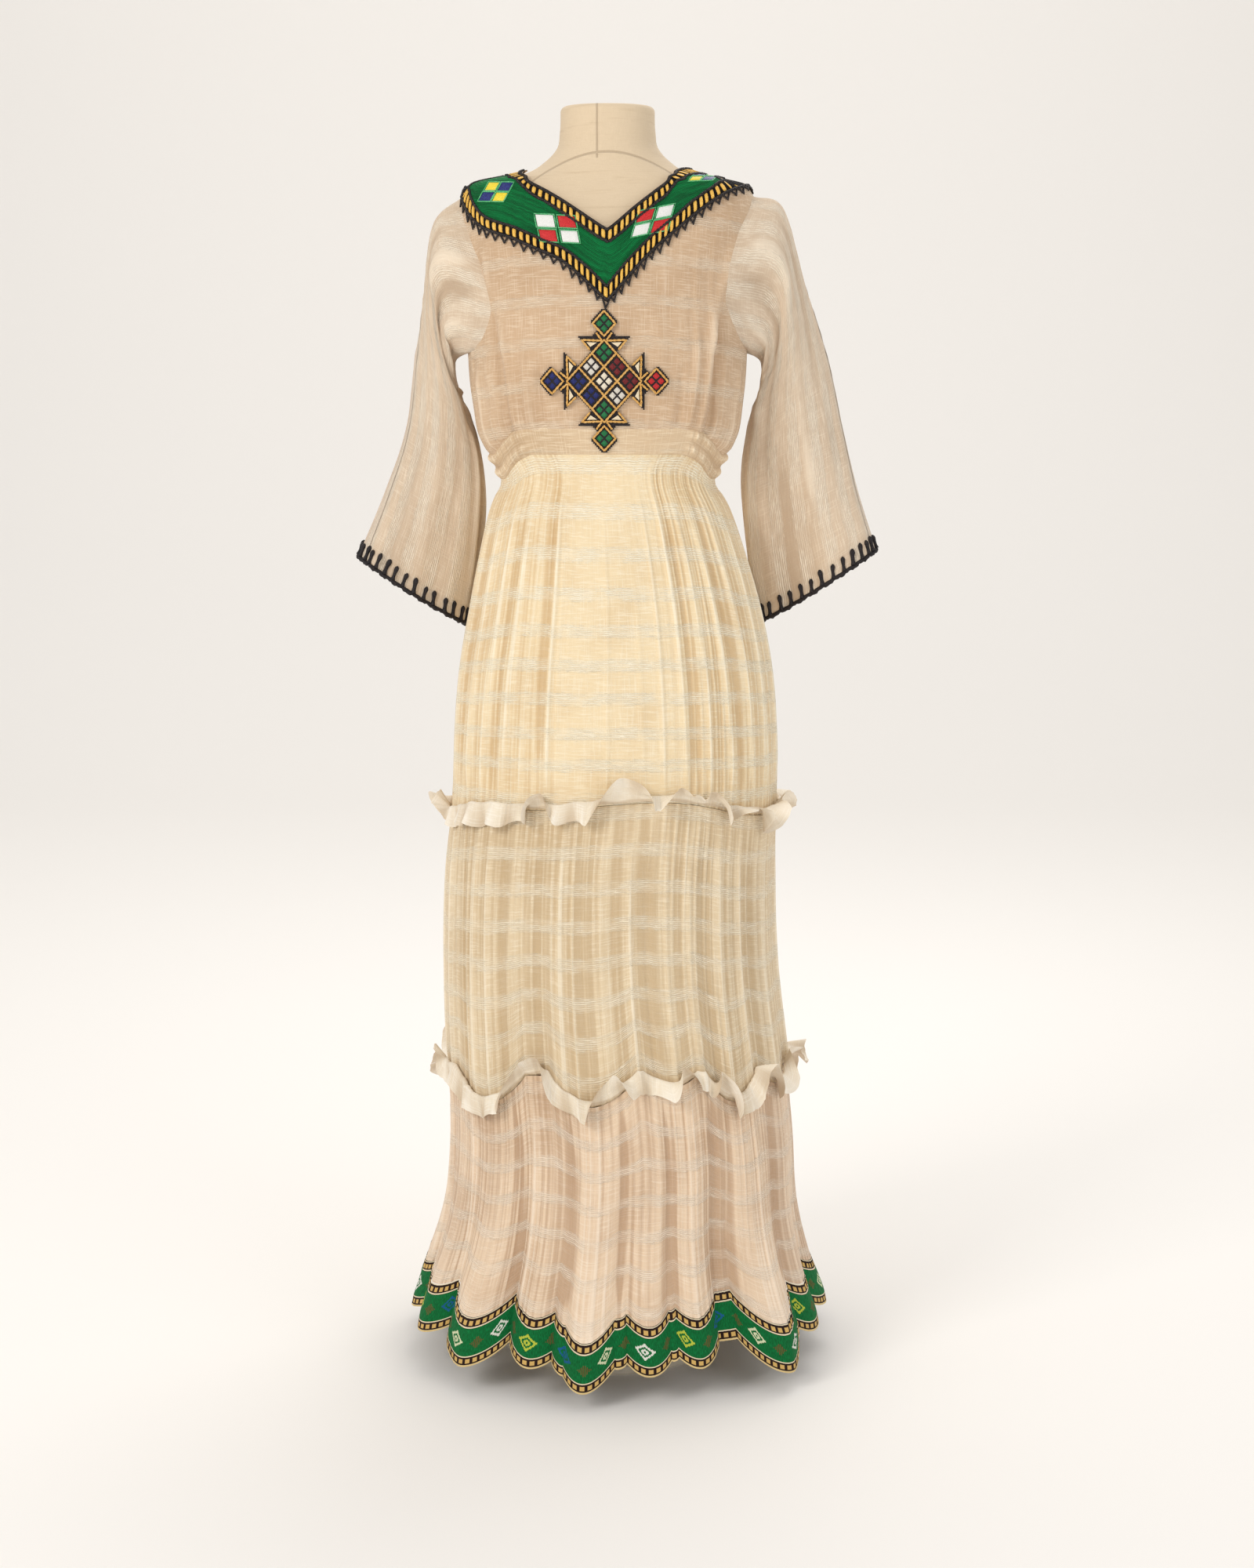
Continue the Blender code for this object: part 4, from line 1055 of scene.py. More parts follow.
BORDER_FINISH = woven_border()
for part, back in (("front", False), ("back", True)):
    turn = np.linspace(-1, 1, BORDER_COLUMNS)[None, :] * (90 - SIDE_SEAM / 2)
    share = np.linspace(0, 1, BORDER_ROWS)[:, None]
    angle = np.broadcast_to(turned(180 + turn) if back else turn, (BORDER_ROWS, BORDER_COLUMNS))
    z = border_top(angle) - SEAM - (BORDER - SEAM) * share
    relief, _ = tier_relief(3, angle, z, 1 + 0 * z)
    arc = np.radians(angle) * 0.22
    ripple = 0.0016 * np.sin(arc / 0.0085 + 1.2 * np.sin(arc / 0.03)) * share
    points, _ = on_skirt(angle, z, relief * (1 - 0.75 * smooth(share / 0.3)) + ripple + 0.0006)
    spacing = np.linalg.norm(np.diff(points[BORDER_ROWS // 2], axis=0), axis=-1)
    u = np.concatenate([[0], np.cumsum(spacing)])[None, :] + 0 * share
    hem = add_mesh("cloth_border_" + part, points, grid_faces(*angle.shape), BORDER_FINISH,
                   np.stack(np.broadcast_arrays(u, share * BORDER), -1))
    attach(hem, "root")
    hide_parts("hem_border_" + part)


# Sleeves
# Elbow-length bell sleeves of whiter gauze whose slubby bands run from shoulder
# to hem. Each hangs from its armhole as an empty tube in long soft folds.
INNER_SHARE = {"left": 0.5, "right": 0.3}         # share of a sleeve's swing which its inner fold takes
SLEEVE_COLUMNS = 180
SLEEVE_ROWS = 112
SLEEVE_ROUND = 0.44       # flat width of a sleeve
SLEEVE_LONG = 0.42

SLEEVE = table("outer_x outer_y outer_z inner_x inner_y inner_z half left_out right_out left_up", [
    (0.2040, 0.004, 1.394, 0.1850, 0.012, 1.228, 0.053, 0.0060, 0.0040, 0.016),
    (0.2270, 0.010, 1.322, 0.1830, 0.022, 1.196, 0.050, 0.0100, -0.0060, 0.0),
    (0.2470, 0.014, 1.234, 0.1700, 0.038, 1.160, 0.046, 0.0185, -0.0160, 0.0),
    (0.2650, 0.012, 1.146, 0.1600, 0.056, 1.090, 0.044, 0.0200, -0.0230, 0.0),
    (0.2850, 0.004, 1.066, 0.1680, 0.076, 1.002, 0.043, 0.0170, -0.0180, 0.005),
    (0.3110, -0.008, 0.990, 0.1870, 0.096, 0.912, 0.043, 0.0110, -0.0150, 0.011),
])

# Folds of each sleeve. Turn is the place round the sleeve, 0 on its
# outer fold, 90 at the front, 180 on its inner fold. Start and end are shares
# of its length.
SLEEVE_FOLDS = {
    "left": table("turn start end drift width rise", [
        (66, 0.00, 0.34, 10, 10, 0.0050),
        (92, 0.00, 0.40, 26, 11, -0.0055),
        (128, 0.02, 0.36, 22, 9, 0.0046),
        (40, 0.06, 0.66, -6, 7, -0.0026),
        (74, 0.16, 0.92, -14, 8, 0.0026),
        (112, 0.30, 0.98, -10, 8, -0.0032),
        (148, 0.24, 0.60, -26, 10, 0.0040),
        (132, 0.50, 1.10, 6, 8, 0.0036),
        (90, 0.62, 1.15, 12, 9, -0.0034),
        (58, 0.58, 1.15, 4, 10, 0.0030),
        (24, 0.50, 1.15, 3, 9, -0.0030),
        (160, 0.66, 1.15, 0, 8, -0.0034),
        (212, 0.30, 1.10, 10, 12, 0.0040),
        (246, 0.05, 0.90, 12, 12, -0.0040),
        (284, 0.20, 1.15, -8, 12, 0.0038),
        (318, 0.45, 1.15, 4, 11, -0.0034),
        (340, 0.02, 0.45, -8, 9, 0.0026),
    ]),
    "right": table("turn start end drift width rise", [
        (58, 0.00, 0.30, 14, 9, 0.0052),
        (82, 0.00, 0.46, 34, 10, -0.0065),
        (116, 0.03, 0.42, 22, 10, 0.0052),
        (34, 0.04, 0.50, 10, 8, -0.0030),
        (52, 0.20, 0.80, 6, 8, 0.0024),
        (146, 0.34, 0.56, -30, 8, -0.0048),
        (118, 0.44, 1.15, 8, 6, 0.0044),
        (134, 0.48, 1.15, 4, 9, -0.0040),
        (88, 0.52, 1.15, -6, 9, -0.0026),
        (62, 0.62, 1.15, 0, 9, 0.0028),
        (28, 0.56, 1.15, -2, 9, -0.0030),
        (160, 0.62, 1.15, 2, 8, 0.0036),
        (206, 0.26, 1.15, 8, 12, -0.0038),
        (238, 0.04, 0.86, 10, 12, 0.0040),
        (276, 0.18, 1.15, -6, 12, -0.0040),
        (312, 0.42, 1.15, 4, 11, 0.0034),
        (338, 0.02, 0.50, -6, 9, -0.0026),
    ]),
}


def spline(rings, places):
    """Smooth surface through the rings, read at places from 0 to the last one."""
    slopes = np.gradient(rings, axis=0)
    start = np.clip(np.floor(places).astype(int), 0, len(rings) - 2)
    t = (places - start)[:, None, None]
    low, high = rings[start], rings[start + 1]
    return ((1 + 2 * t) * (1 - t) ** 2 * low + t * (1 - t) ** 2 * slopes[start]
            + t * t * (3 - 2 * t) * high - t * t * (1 - t) * slopes[start + 1])


def sleeve_grid(name, side):
    """The sleeve's cloth by rows down and columns round, its gathers and the painted shading of its folds."""
    turn = 2 * math.pi * np.arange(SLEEVE_COLUMNS) / SLEEVE_COLUMNS
    z = UNDERARM + (SHOULDER_TIP - UNDERARM) * (0.5 + 0.5 * np.cos(turn))
    front, back = (np.stack(bodice_place(z, step, behind)) for step, behind in ((side, False), (-side, True)))
    edge, _ = on_bodice(*np.where(turn <= math.pi, front, back))
    rings = [edge]
    for k, half in enumerate(SLEEVE["half"]):
        outer = np.array([SLEEVE["outer_" + axis][k] for axis in "xyz"])
        inner = np.array([SLEEVE["inner_" + axis][k] for axis in "xyz"])
        swing = SLEEVE[name + "_out"][k]
        outer[0] = (outer[0] + swing) * side
        inner[0] = (inner[0] + swing * INNER_SHARE[name] * k / len(SLEEVE["half"])) * side
        if name == "left":
            outer[2] += SLEEVE["left_up"][k]
        middle, arm = (outer + inner) / 2, (outer - inner) / 2
        flat = np.array([arm[0], arm[1], 0.0]) if k > 1 else np.array([side, 0.0, 0.0])
        forward = np.cross(flat, (0, 0, 1.0)) * side
        forward /= np.linalg.norm(forward)
        forward[2] = forward[0] / arm[0] * arm[2]
        rings.append(middle + np.cos(turn)[:, None] * arm + np.sin(turn)[:, None] * forward * half)
    rings = np.array(rings)
    places = np.linspace(0, len(rings) - 1, SLEEVE_ROWS)
    share = (places / (len(rings) - 1))[:, None]
    grid = spline(rings, places)
    down = np.gradient(grid, axis=0)
    along = np.roll(grid, -1, axis=1) - np.roll(grid, 1, axis=1)
    out = np.cross(down, along)
    out *= np.sign(np.sum(out * (grid - grid.mean(axis=1, keepdims=True)), axis=-1, keepdims=True))
    out /= np.maximum(np.linalg.norm(out, axis=-1, keepdims=True), 1e-9)
    relief = np.zeros(grid.shape[:2])
    folds = SLEEVE_FOLDS[name]
    for at, start, end, drift, width, rise in zip(*(folds[key] for key in folds)):
        gone = (share - start) / (end - start)
        away = turned(np.degrees(turn)[None, :] - at - drift * np.clip(gone, 0, 1)) / width
        relief += rise * smooth(gone / 0.30) * smooth((1 - gone) / 0.30) * np.exp(-away ** 2)
    arc = turn[None, :] * SLEEVE_ROUND / (2 * math.pi) + 0 * share
    fine = gathers(arc, share * 0.35, 0.030, 31 if side > 0 else 47, 0.9, 1.8)
    slack = gathers(share * SLEEVE_LONG + 0 * arc, arc * 1.4, 0.034, 12 if side > 0 else 19, 0.8, 2.2)
    elbow = np.exp(-((share - 0.42) / 0.20) ** 2)
    relief += (0.0012 * (fine - 0.4) + 0.0016 * (slack - 0.4) * elbow) * smooth(share / 0.10)
    bell = 0.0050 * np.sin(3 * turn + (0.8 if side > 0 else 2.1))[None, :] * smooth((share - 0.55) / 0.45)
    relief += bell * np.abs(np.sin(turn))[None, :]
    # Painted shading: lighter where the cloth stands out, darker where it sinks in
    painted_fold_shading = relief / 0.0050
    return grid + out * relief[..., None], out, arc, share, painted_fold_shading


SLEEVE_GAUZE = gauze("sleeve_gauze", linear(213, 191, 165), linear(213, 193, 172), linear(246, 232, 210),
                     linear(182, 158, 132), 0.0310, 0.0, 0.0075, 0.95, lengthwise=True)
cuff_lines = {}
for name, side in (("left", 1), ("right", -1)):
    grid, out, arc, share, painted_fold_shading = sleeve_grid(name, side)
    cuff_lines[name] = grid, out
    order = slice(None, None, -1) if side > 0 else slice(None)
    flat = np.stack([arc, share * SLEEVE_LONG + 0 * arc], -1)
    sleeve = add_mesh("cloth_sleeve_" + name, grid[:, order], grid_faces(SLEEVE_ROWS, SLEEVE_COLUMNS, True),
                      SLEEVE_GAUZE, flat[:, order], {"painted_fold_shading": painted_fold_shading[:, order]})
    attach(sleeve, "root")
    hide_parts("sleeve_" + name)


# Cuff edging
# Thick black yarn in blanket stitch: a line laid along the sleeve's hem, with a
# round-ended stitch standing up the cloth from it every 13 millimetres.
YARN = 0.0026             # half of the yarn line's thickness
STITCHES = 34
STITCH_HIGH = 0.0180
STITCH_SIDES = 8
STITCH_SWELL = np.array([1.25, 1.0, 0.85, 0.82, 0.88, 1.02, 1.18, 1.05, 0.35])  # thickness, foot to tip


def tube(path, radius, sides=8, closed=False):
    """Points and faces of a round cord along a path of points. The radius may
    be one number or one for each point."""
    path = np.asarray(path, float)
    radius = np.broadcast_to(np.asarray(radius, float), len(path))
    if closed:
        ahead = np.roll(path, -1, axis=0) - np.roll(path, 1, axis=0)
    else:
        ahead = np.gradient(path, axis=0)
    ahead /= np.maximum(np.linalg.norm(ahead, axis=-1, keepdims=True), 1e-9)
    across = np.cross(ahead, (0.13, -0.99, 0.06))
    across /= np.linalg.norm(across, axis=-1, keepdims=True)
    up = np.cross(across, ahead)
    turn = 2 * math.pi * np.arange(sides) / sides
    around = across[:, None] * np.cos(turn)[:, None] + up[:, None] * np.sin(turn)[:, None]
    points = path[:, None] + around * radius[:, None, None]
    at = np.arange(len(path) * sides).reshape(len(path), sides)
    below = np.roll(at, -1, axis=0) if closed else at[1:]
    at = at if closed else at[:-1]
    faces = np.stack([at, np.roll(at, -1, 1), np.roll(below, -1, 1), below], -1).reshape(-1, 4)
    return points.reshape(-1, 3), faces


def join(parts):
    """One list of points and faces from several."""
    points, faces, count = [], [], 0
    for some, quads in parts:
        points.append(some)
        faces.extend((np.asarray(quads) + count).tolist())
        count += len(some)
    return np.concatenate(points), faces


def thread(name, colour, light, twist=1100.0, roughness=0.6):
    """Stranded embroidery thread: a soft sheen and fine slanting strands."""
    yarn = Finish(name, roughness=roughness, sheen_weight=0.04, specular_ior_level=0.35)
    _, x, y, z = yarn.object_place()
    strands = yarn.noise(x * twist, y * 300, z * twist)
    tint = yarn.mix(strands.ramp(0.42, 0.68), colour, light)
    return yarn.feed(tint, strands, 0.0006, 0.8)


BLACK_THREAD = thread("black_thread", linear(14, 8, 10), linear(48, 40, 42))
for name in ("left", "right"):
    grid, out = cuff_lines[name]
    hem, hem_out = grid[-1], out[-1]
    fall = grid[-1] - grid[-4]
    fall /= np.linalg.norm(fall, axis=-1, keepdims=True)
    count = np.arange(SLEEVE_COLUMNS)
    wander = 0.0005 * np.sin(count * 0.9) + 0.0004 * np.sin(count * 2.3)
    parts = [tube(hem + fall * (0.0016 + wander)[:, None], YARN * (1 + wander / 0.004), 10, closed=True)]
    rng = np.random.default_rng(5)
    for k in range(STITCHES):
        at = (k + rng.uniform(-0.12, 0.12)) * SLEEVE_COLUMNS / STITCHES
        first = int(at) % SLEEVE_COLUMNS
        second, part_way = (first + 1) % SLEEVE_COLUMNS, at - math.floor(at)
        foot, lift = (values[first] * (1 - part_way) + values[second] * part_way for values in (hem, hem_out))
        up = -(fall[first] * (1 - part_way) + fall[second] * part_way)
        beside = np.cross(up, lift)
        high = STITCH_HIGH * rng.uniform(0.88, 1.08)
        lean = rng.uniform(-0.10, 0.16)
        steps = np.linspace(0, 1, 9)
        path = [foot + lift * 0.0012 + up * high * t + beside * high * lean * t * t for t in steps]
        swell = YARN * STITCH_SWELL * rng.uniform(0.92, 1.1)
        parts.append(tube(path, swell, STITCH_SIDES))
    points, faces = join(parts)
    edging = add_mesh("stitched_cuff_" + name, points, faces, BLACK_THREAD)
    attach(edging, "root")
    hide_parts("cuff_edging_" + name)


# Yoke
# A broad V-shaped collar worked solid in green thread, its rows following the V.
# Both edges carry a border of gold blocks between two black braids, and black
# loops hang from the outer one. Small diamonds are worked in groups of four.
YOKE_LIFT = 0.0024        # height of the worked thread over the bodice cloth
BRAID = 0.0018            # half of a braid's thickness
BORDER_WIDE = 0.0124      # from the middle of one braid to the middle of the other
BRAID_INSET = 0.0020      # from the collar's edge to the middle of the nearer braid
THREAD_ROW = 0.0016       # from one row of green thread to the next
LOOP_PITCH = 0.0138       # from one hanging loop to the next
LOOP_DEEP = 0.0085
YOKE_COLUMNS = 361
YOKE_ROWS = 28

# Groups of four diamonds: x and height of the middle of each, the steps from
# one diamond to the next across and down, whether it is on the back, and which
# colours it takes
DIAMONDS = table("x z right_x right_z down_x down_z back kind", [
    (-0.0575, 1.3800, 0.0251, -0.0013, 0.0035, -0.0172, 0, 0),
    (0.0530, 1.3895, 0.0225, 0.0050, -0.0050, -0.0165, 0, 1),
    (-0.1300, 1.4250, 0.0160, -0.0010, -0.0064, -0.0120, 0, 3),
    (0.1130, 1.4440, 0.0150, 0.0010, -0.0050, -0.0070, 0, 2),
    (-0.0700, 1.4050, 0.0220, 0.0020, 0.0020, -0.0100, 1, 1),
    (0.0700, 1.4050, 0.0220, -0.0020, -0.0020, -0.0100, 1, 0),
])
GROUP_COLOURS = [         # upper left, upper right, lower left and lower right of each kind
    ("white", "red", "red", "white"),
    ("red", "white", "white", "red"),
    ("navy", "yellow", "yellow", "navy"),
    ("yellow", "navy", "navy", "yellow"),
]


def yoke_edges(angle):
    return neck_edge("inner", turned(angle)), neck_edge("outer", turned(angle))


def on_yoke(angle, share, lift=YOKE_LIFT):
    """Point on the collar: share is 0 at its inner edge and 1 at its outer edge."""
    inner, outer = yoke_edges(angle)
    return on_bodice(turned(angle), inner + (outer - inner) * share, lift)


def square_width(angle, share):
    """Metres square to the collar's edge for the whole of its share."""
    step = 0.4 * np.where(turned(angle) >= 0, 1, -1) * np.where(np.abs(turned(angle)) > 179, -1, 1)
    here, _ = on_yoke(angle, share, 0)
    beside, _ = on_yoke(angle + step, share, 0)
    below, _ = on_yoke(angle, share + 0.02, 0)
    edge = beside - here
    edge /= np.linalg.norm(edge, axis=-1, keepdims=True)
    down = (below - here) / 0.02
    return np.linalg.norm(down - np.sum(down * edge, axis=-1, keepdims=True) * edge, axis=-1)


def at_distance(angle, distance, outer):
    """Share at a distance in from the inner or from the outer edge."""
    share = distance / square_width(angle, np.ones_like(angle) if outer else np.zeros_like(angle))
    return 1 - share if outer else share


def evenly(path, pitch):
    """Places along a closed path, about pitch apart, as whole and part steps."""
    gaps = np.linalg.norm(np.roll(path, -1, axis=0) - path, axis=-1)
    length = np.concatenate([[0], np.cumsum(gaps)])
    count = int(round(length[-1] / pitch))
    return np.interp(np.arange(count) * length[-1] / count, length, np.arange(len(path) + 1)), count


yoke_green = Finish("green_thread", roughness=0.8, sheen_weight=0.02, specular_ior_level=0.2)
row_place, row_share = yoke_green.cloth_place()
strand = yoke_green.noise(row_place * 260, row_share * 2600)
broad = yoke_green.noise(row_place * 22, row_share * 300, detail=3.0)
thread_row = ((row_share + (broad - 0.5) * 0.0010) / THREAD_ROW * 2 * math.pi).sine() * 0.5 + 0.5
green = yoke_green.mix(broad.ramp(0.32, 0.68), linear(0, 92, 44), linear(0, 128, 64))
green = yoke_green.mix(strand.ramp(0.50, 0.75) * 0.5, green, linear(20, 158, 92))
# Painted shade in the grooves between the rows of green thread
green = yoke_green.mix((1 - thread_row).ramp(0.55, 1.0) * 0.45, green, linear(0, 56, 28))
rim = yoke_green.shade("rim")
green = yoke_green.mix(1 - rim.ramp(0.0138, 0.0144), green, linear(20, 13, 14))
GREEN_THREAD = yoke_green.feed(green, thread_row + strand * 0.6, 0.0011, 0.8)

for part, back in (("front", False), ("back", True)):
    turn = np.linspace(-90, 90, YOKE_COLUMNS)[None, :]
    share = np.linspace(0.0, 1.0, YOKE_ROWS)[:, None]
    angle = (turned(180 + turn) if back else turn) + 0 * share
    edge = smooth(share / 0.05) * smooth((1 - share) / 0.05)
    points, out = on_yoke(angle, share + 0 * angle, 0.0008 + (YOKE_LIFT - 0.0008) * edge)
    distance = [square_width(angle[:1], at + 0 * angle[:1]) for at in (0.0, 1.0)]
    rim = np.minimum(share * distance[0], (1 - share) * distance[1])
    wide = square_width(angle[:1], 0.5 + 0 * angle[:1])
    spacing = np.linalg.norm(np.diff(points[YOKE_ROWS // 2], axis=0), axis=-1)
    u = np.concatenate([[0], np.cumsum(spacing)])[None, :]
    collar = add_mesh("yoke_" + part, points, grid_faces(*angle.shape), GREEN_THREAD,
                      np.stack(np.broadcast_arrays(u, share * wide), -1), {"rim": rim})
    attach(collar, "root")
    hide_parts("neck_yoke_" + part)

# Braids: two twisted strands, four times round the collar
angle = np.linspace(-180, 180, 1081)[:-1]
braids, loops, blocks = [], [], []
lines = {}
for outer in (False, True):
    for k, distance in enumerate((BRAID_INSET, BRAID_INSET + BORDER_WIDE)):
        path, out = on_yoke(angle, at_distance(angle, distance, outer), YOKE_LIFT + 0.0006)
        lines[outer, k] = path, out
        twist = np.arange(len(path)) * 0.95
        along = np.roll(path, -1, axis=0) - np.roll(path, 1, axis=0)
        beside = np.cross(along / np.linalg.norm(along, axis=-1, keepdims=True), out)
        for phase in (0, math.pi):
            swing = beside * np.cos(twist + phase)[:, None] + 0.6 * out * np.sin(twist + phase)[:, None]
            braids.append(tube(path + 0.0008 * swing, BRAID * 0.68, 5, closed=True))

# Loops hanging from the outer edge, each a small V of black thread
path, out = lines[True, 0]
places, count = evenly(path, LOOP_PITCH)
rng = np.random.default_rng(9)
edge_share = at_distance(angle, BRAID_INSET, True)
fall = square_width(angle, np.ones_like(angle))
for k in range(count):
    start, end = places[k], places[(k + 1) % count]
    if end < start:
        end += len(angle)
    steps = np.linspace(0, 1, 9)
    at = (start + (end - start) * (steps + 0.10 * np.sin(2 * math.pi * steps)))
    deep = LOOP_DEEP * (1 - np.abs(2 * steps - 1) ** 1.25) * rng.uniform(0.86, 1.1)
    along = np.interp(at, np.arange(len(angle) + 1), np.append(angle, 180.0))
    if at[-1] > len(angle):
        along = np.where(at > len(angle), -180 + (at - len(angle)) * (angle[1] - angle[0]), along)
    where = np.clip(np.round(at).astype(int) % len(angle), 0, len(angle) - 1)
    loop, _ = on_yoke(along, edge_share[where] + deep / fall[where], 0.0022)
    loops.append(tube(loop, 0.00115, 6))

# Gold blocks: short satin stitches laid across between the two braids
BLOCK_PROFILE = ((-1.0, -0.0010), (-0.86, 0.0006), (-0.45, 0.0013), (0.0, 0.0015), (0.45, 0.0013),
                 (0.86, 0.0006), (1.0, -0.0010))
for outer in (False, True):
    inside, inside_out = lines[outer, 0]
    outside, _ = lines[outer, 1]
    middle = (inside + outside) / 2
    places, count = evenly(middle, 0.0096 if outer else 0.0091)
    for k in range(count):
        first = int(places[k]) % len(middle)
        across = outside[first] - inside[first]
        wide = np.linalg.norm(across)
        across /= wide
        ahead = middle[(first + 1) % len(middle)] - middle[first]
        ahead /= np.linalg.norm(ahead)
        lift = inside_out[first]
        half = wide / 2 - BRAID * 1.15
        rows = []
        for reach, height in BLOCK_PROFILE:
            span = 0.00265 * (1 - 0.14 * abs(reach) ** 3) * rng.uniform(0.92, 1.06)
            steps = np.array([-1.0, -0.8, -0.3, 0.3, 0.8, 1.0])
            dome = np.array([-0.0012, 0.0, 0.0006, 0.0006, 0.0, -0.0012])
            base = middle[first] + across * half * reach
            rows.append(base + ahead * (steps * span)[:, None] + lift * (height + dome)[:, None])
        block = np.array(rows)
        blocks.append((block.reshape(-1, 3), np.array(grid_faces(7, 6))))

BRAID_BLACK = thread("braid_black", linear(15, 10, 11), linear(62, 54, 54), 700.0, 0.5)
GOLD_THREAD = thread("gold_thread", linear(232, 172, 60), linear(255, 220, 120), 1500.0, 0.42)
for name, parts, finish in (("yoke_braids", braids, BRAID_BLACK), ("yoke_loops", loops, BRAID_BLACK),
                            ("yoke_blocks", blocks, GOLD_THREAD)):
    points, faces = join(parts)
    trim = add_mesh(name, points, faces, finish)
    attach(trim, "root")
    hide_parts("neck_yoke_front", "neck_yoke_back")

# Diamonds: raised satin squares in a thin light green outline
SATIN = {
    "white": thread("white_satin", linear(228, 228, 224), linear(250, 250, 246), 1600.0, 0.45),
    "red": thread("red_satin", linear(188, 18, 28), linear(232, 60, 58), 1600.0, 0.45),
    "yellow": thread("yellow_satin", linear(238, 206, 24), linear(252, 236, 96), 1600.0, 0.45),
    "navy": thread("navy_satin", linear(14, 24, 92), linear(52, 66, 150), 1600.0, 0.45),
}
OUTLINE_GREEN = thread("outline_green", linear(66, 168, 104), linear(128, 206, 150), 900.0, 0.55)
diamonds = {colour: [] for colour in SATIN}
outlines = []


def on_panel(x, z, back, lift):
    """Point over a place on the bodice given by its x and height."""
    sine = np.sign(x) * np.minimum(np.abs(x) / read(BODICE, "half_width", z), 1) ** (1 / ROUNDNESS)
    angle = np.degrees(np.arcsin(sine))
    return on_bodice(turned(180 - angle) if back else angle, z, lift)


def in_group(group, across, below):
    """Side and height of a place in a group, given in steps from its middle."""
    x, z, right_x, right_z, down_x, down_z = group
    return x + right_x * across + down_x * below, z + right_z * across + down_z * below


QUARTERS = ((-0.5, -0.5), (0.5, -0.5), (-0.5, 0.5), (0.5, 0.5))
for *group, back, kind in zip(*(DIAMONDS[key] for key in DIAMONDS)):
    for colour, (right, down) in zip(GROUP_COLOURS[int(kind)], QUARTERS):
        size = 0.39 * rng.uniform(0.95, 1.05)
        steps = np.linspace(-1, 1, 7)
        first, second = np.meshgrid(steps, steps, indexing="ij")
        place = in_group(group, right + second * size, down + first * size)
        point, out = on_panel(*place, back, YOKE_LIFT + 0.0004)
        dome = 0.0010 * (1 - np.maximum(np.abs(first), np.abs(second)) ** 4)
        patch = point + out * dome[..., None]
        if back:
            patch = patch[:, ::-1]
        diamonds[colour].append((patch.reshape(-1, 3), np.array(grid_faces(7, 7))))
        ring = np.array([(-1, -1), (0, -1), (1, -1), (1, 0), (1, 1), (0, 1), (-1, 1), (-1, 0)]) * size * 1.15
        place = in_group(group, right + ring[:, 0], down + ring[:, 1])
        point, out = on_panel(*place, back, YOKE_LIFT + 0.0006)
        outlines.append(tube(point, 0.0009, 5, closed=True))

raised = [("yoke_diamonds_" + colour, diamonds[colour], SATIN[colour]) for colour in SATIN]
for name, parts, finish in raised + [("yoke_outlines", outlines, OUTLINE_GREEN)]:
    points, faces = join(parts)
    trim = add_mesh(name, points, faces, finish)
    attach(trim, "root")
    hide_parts("neck_yoke_front", "neck_yoke_back")


# Cross on the chest
# A lattice cross worked on a black backing: twisted gold cord laid in crossing
# lines, with satin squares of colour in its openings.
CROSS_CENTRE = (-0.0035, 1.2045)  # x and height of its middle
CROSS_STEP = (0.00745, 0.00825)   # one step across and one step up
CROSS_LATTICE = 6                 # steps from the middle to a corner of the lattice
CROSS_TIP = 10                    # steps from the middle to the tip of an end diamond
CROSS_LIFT = 0.0030               # height of the backing over the bodice cloth
CORD = 0.00135                    # half thickness of the gold cord


def in_cross(x, z):
    """Whether a place, in steps from the middle, lies on the cross."""
    along, across = np.maximum(abs(x), abs(z)), np.minimum(abs(x), abs(z))
    lattice = along + across < CROSS_LATTICE
    foot = (CROSS_LATTICE - 2 < along) & (along < CROSS_LATTICE) & (across < along - 2)
    joint = (CROSS_LATTICE < along) & (along < CROSS_LATTICE + 1) & (across < CROSS_TIP - 2 - along)
    diamond = abs(along - CROSS_TIP + 2) + across < 2
    return lattice | foot | joint | diamond


def on_cross(x, z, lift):
    """Point over a place on the cross, given in steps from its middle."""
    side = CROSS_CENTRE[0] + np.asarray(x, float) * CROSS_STEP[0]
    height = CROSS_CENTRE[1] + np.asarray(z, float) * CROSS_STEP[1]
    wide = read(BODICE, "half_width", height)
    sine = np.sign(side) * (np.abs(side) / wide) ** (1 / ROUNDNESS)
    return on_bodice(np.degrees(np.arcsin(sine)), height, lift)


def cross_line(corners, step=0.25):
    """Points along a line of corners on the cross, close together."""
    places = []
    for start, end in zip(corners[:-1], corners[1:]):
        count = max(2, int(math.dist(start, end) / step))
        places += [(start[0] + (end[0] - start[0]) * k / count, start[1] + (end[1] - start[1]) * k / count)
                   for k in range(count)]
    return np.array(places + [corners[-1]])


# Backing: small squares of black cloth wherever the cross reaches
FINE = 4                          # squares to a step
corner_at, quads = {}, []
for i in range(-CROSS_TIP * FINE, CROSS_TIP * FINE):
    for j in range(-CROSS_TIP * FINE, CROSS_TIP * FINE):
        if in_cross((i + 0.5) / FINE * 0.97, (j + 0.5) / FINE * 0.97):
            quad = []
            for place in ((i, j), (i + 1, j), (i + 1, j + 1), (i, j + 1)):
                quad.append(corner_at.setdefault(place, len(corner_at)))
            quads.append(quad)
places = np.array(list(corner_at)) / FINE
backing_points, _ = on_cross(places[:, 0], places[:, 1], CROSS_LIFT)
backing = add_mesh("cross_backing", backing_points, quads, thread("cross_black", linear(18, 12, 14),
                                                                  linear(50, 44, 46), 900.0, 0.7))

def quarter_turned(places, quarter):
    """Places on the cross after some quarter turns round its middle."""
    for _ in range(quarter):
        places = [(-z, x) for x, z in places]
    return places


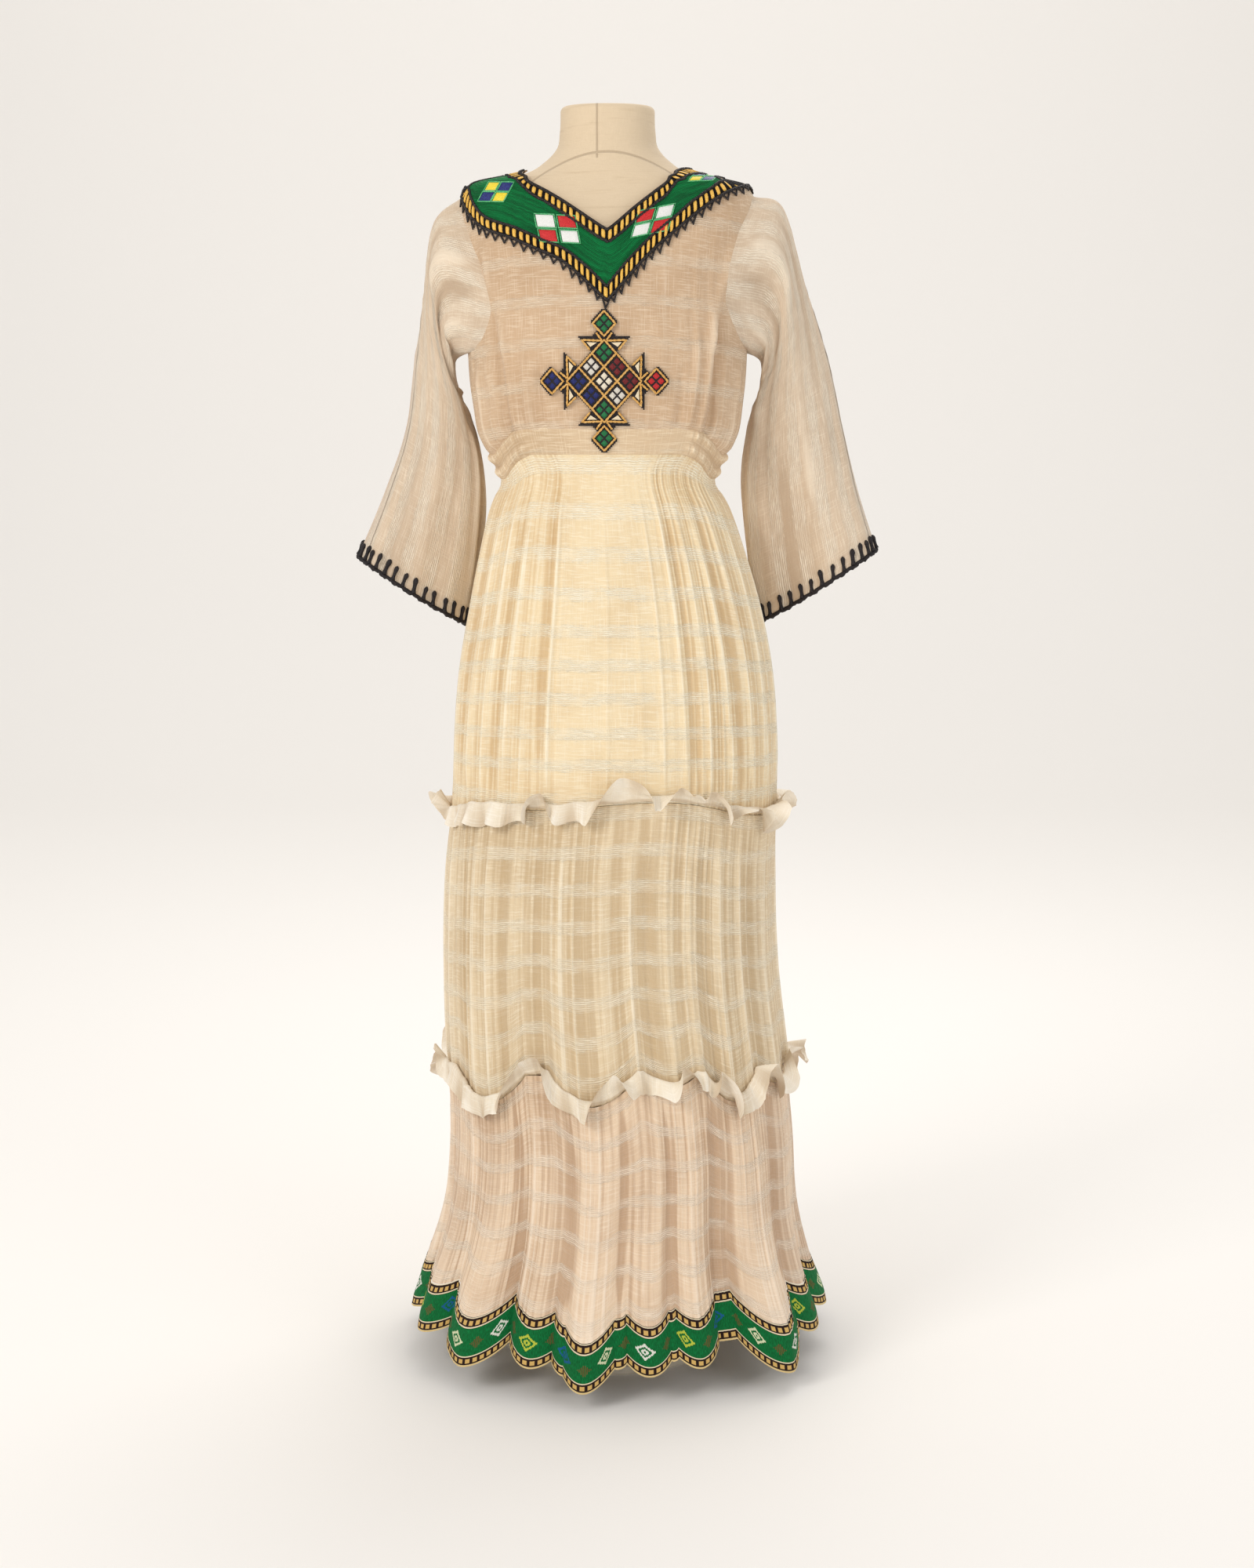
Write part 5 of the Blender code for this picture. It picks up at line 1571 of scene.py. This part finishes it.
# Gold cord: the crossing lines, the round of each end diamond and of each foot
EDGE = CROSS_LATTICE - 0.25
END = CROSS_TIP - 2               # steps from the middle to the middle of an end diamond
ROUND = 1.75                      # from there to the cord round it
lines = []
for k in (-EDGE, -2, 2, EDGE):
    for slope in (1, -1):
        start = ((k - EDGE) / 2, (k + EDGE) / 2 * slope)
        end = ((k + EDGE) / 2, (k - EDGE) / 2 * slope)
        lines.append([start, end])
for quarter in range(4):
    shapes = [[(0, END + ROUND), (ROUND, END), (0, END - ROUND), (-ROUND, END), (0, END + ROUND)]]
    for hand in (-1, 1):
        shapes.append([(hand * 0.35, 5.6), (hand * 3.45, 5.72), (hand * 2.2, 4.35)])
        shapes.append([(hand * 0.4, 5.7), (hand * 1.2, 6.7)])
    lines += [quarter_turned(shape, quarter) for shape in shapes]
cords = []
for corners in lines:
    places = cross_line(corners)
    path, out = on_cross(places[:, 0], places[:, 1], CROSS_LIFT + CORD)
    if len(path) > 3:
        twist = np.arange(len(path)) * 1.25
        along = np.gradient(path, axis=0)
        beside = np.cross(along / np.linalg.norm(along, axis=-1, keepdims=True), out)
        for phase in (0, math.pi):
            swing = beside * np.cos(twist + phase)[:, None] + 0.6 * out * np.sin(twist + phase)[:, None]
            cords.append(tube(path + 0.0006 * swing, CORD * 0.62, 6))
gold_points, gold_faces = join(cords)
gold_cord = add_mesh("cross_cord", gold_points, gold_faces,
                     thread("cross_gold", linear(204, 146, 58), linear(246, 210, 140), 1500.0, 0.42))

# Satin squares. A cell of the lattice is named by the steps of its middle;
# each holds two by two squares.
CELLS = [
    (0, 4, "green"), (-2, 2, "white"), (2, 2, "maroon"), (-4, 0, "blue"), (0, 0, "ivory"), (4, 0, "maroon"),
    (-2, -2, "blue"), (2, -2, "white"), (0, -4, "green"),
    (0, 8, "green"), (0, -8, "green"), (-8, 0, "blue"), (8, 0, "scarlet"),
]
CELL_COLOURS = {
    "green": (linear(6, 98, 50), linear(40, 140, 84)),
    "white": (linear(206, 200, 188), linear(240, 236, 226)),
    "maroon": (linear(96, 14, 20), linear(140, 36, 38)),
    "blue": (linear(14, 24, 84), linear(40, 54, 130)),
    "ivory": (linear(226, 214, 190), linear(248, 242, 226)),
    "scarlet": (linear(176, 18, 28), linear(214, 54, 52)),
    "cream": (linear(226, 208, 172), linear(246, 234, 208)),
}
squares = {colour: [] for colour in CELL_COLOURS}
for x, z, colour in CELLS:
    for right, up in ((0, 0.72), (0, -0.72), (0.72, 0), (-0.72, 0)):
        steps = np.linspace(-1, 1, 5)
        first, second = np.meshgrid(steps, steps, indexing="ij")
        size = 0.54
        across, above = (first + second) / 2 * size, (second - first) / 2 * size
        point, out = on_cross(x + right + across, z + up + above, CROSS_LIFT)
        dome = 0.0013 * (1 - np.maximum(np.abs(first), np.abs(second)) ** 4)
        squares[colour].append(((point + out * dome[..., None]).reshape(-1, 3), np.array(grid_faces(5, 5))))
for quarter in range(4):
    for hand in (-1, 1):
        corners = [(hand * 1.1, 5.35), (hand * 2.7, 5.4), (hand * 2.1, 4.75)]
        corners = np.array(quarter_turned(corners, quarter))
        point, out = on_cross(corners[:, 0], corners[:, 1], CROSS_LIFT + 0.0010)
        squares["cream"].append((point, np.array([[0, 1, 2, 2]])))
trims = [backing, gold_cord]
for colour, (base, light) in CELL_COLOURS.items():
    points, faces = join(squares[colour])
    faces = [face[:3] if face[2] == face[3] else face for face in faces]
    satin = thread("cross_%s_satin" % colour, base, light, 1600.0, 0.45)
    trims.append(add_mesh("cross_" + colour, points, faces, satin))
for trim in trims:
    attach(trim, "root")
    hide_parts("cross_applique")
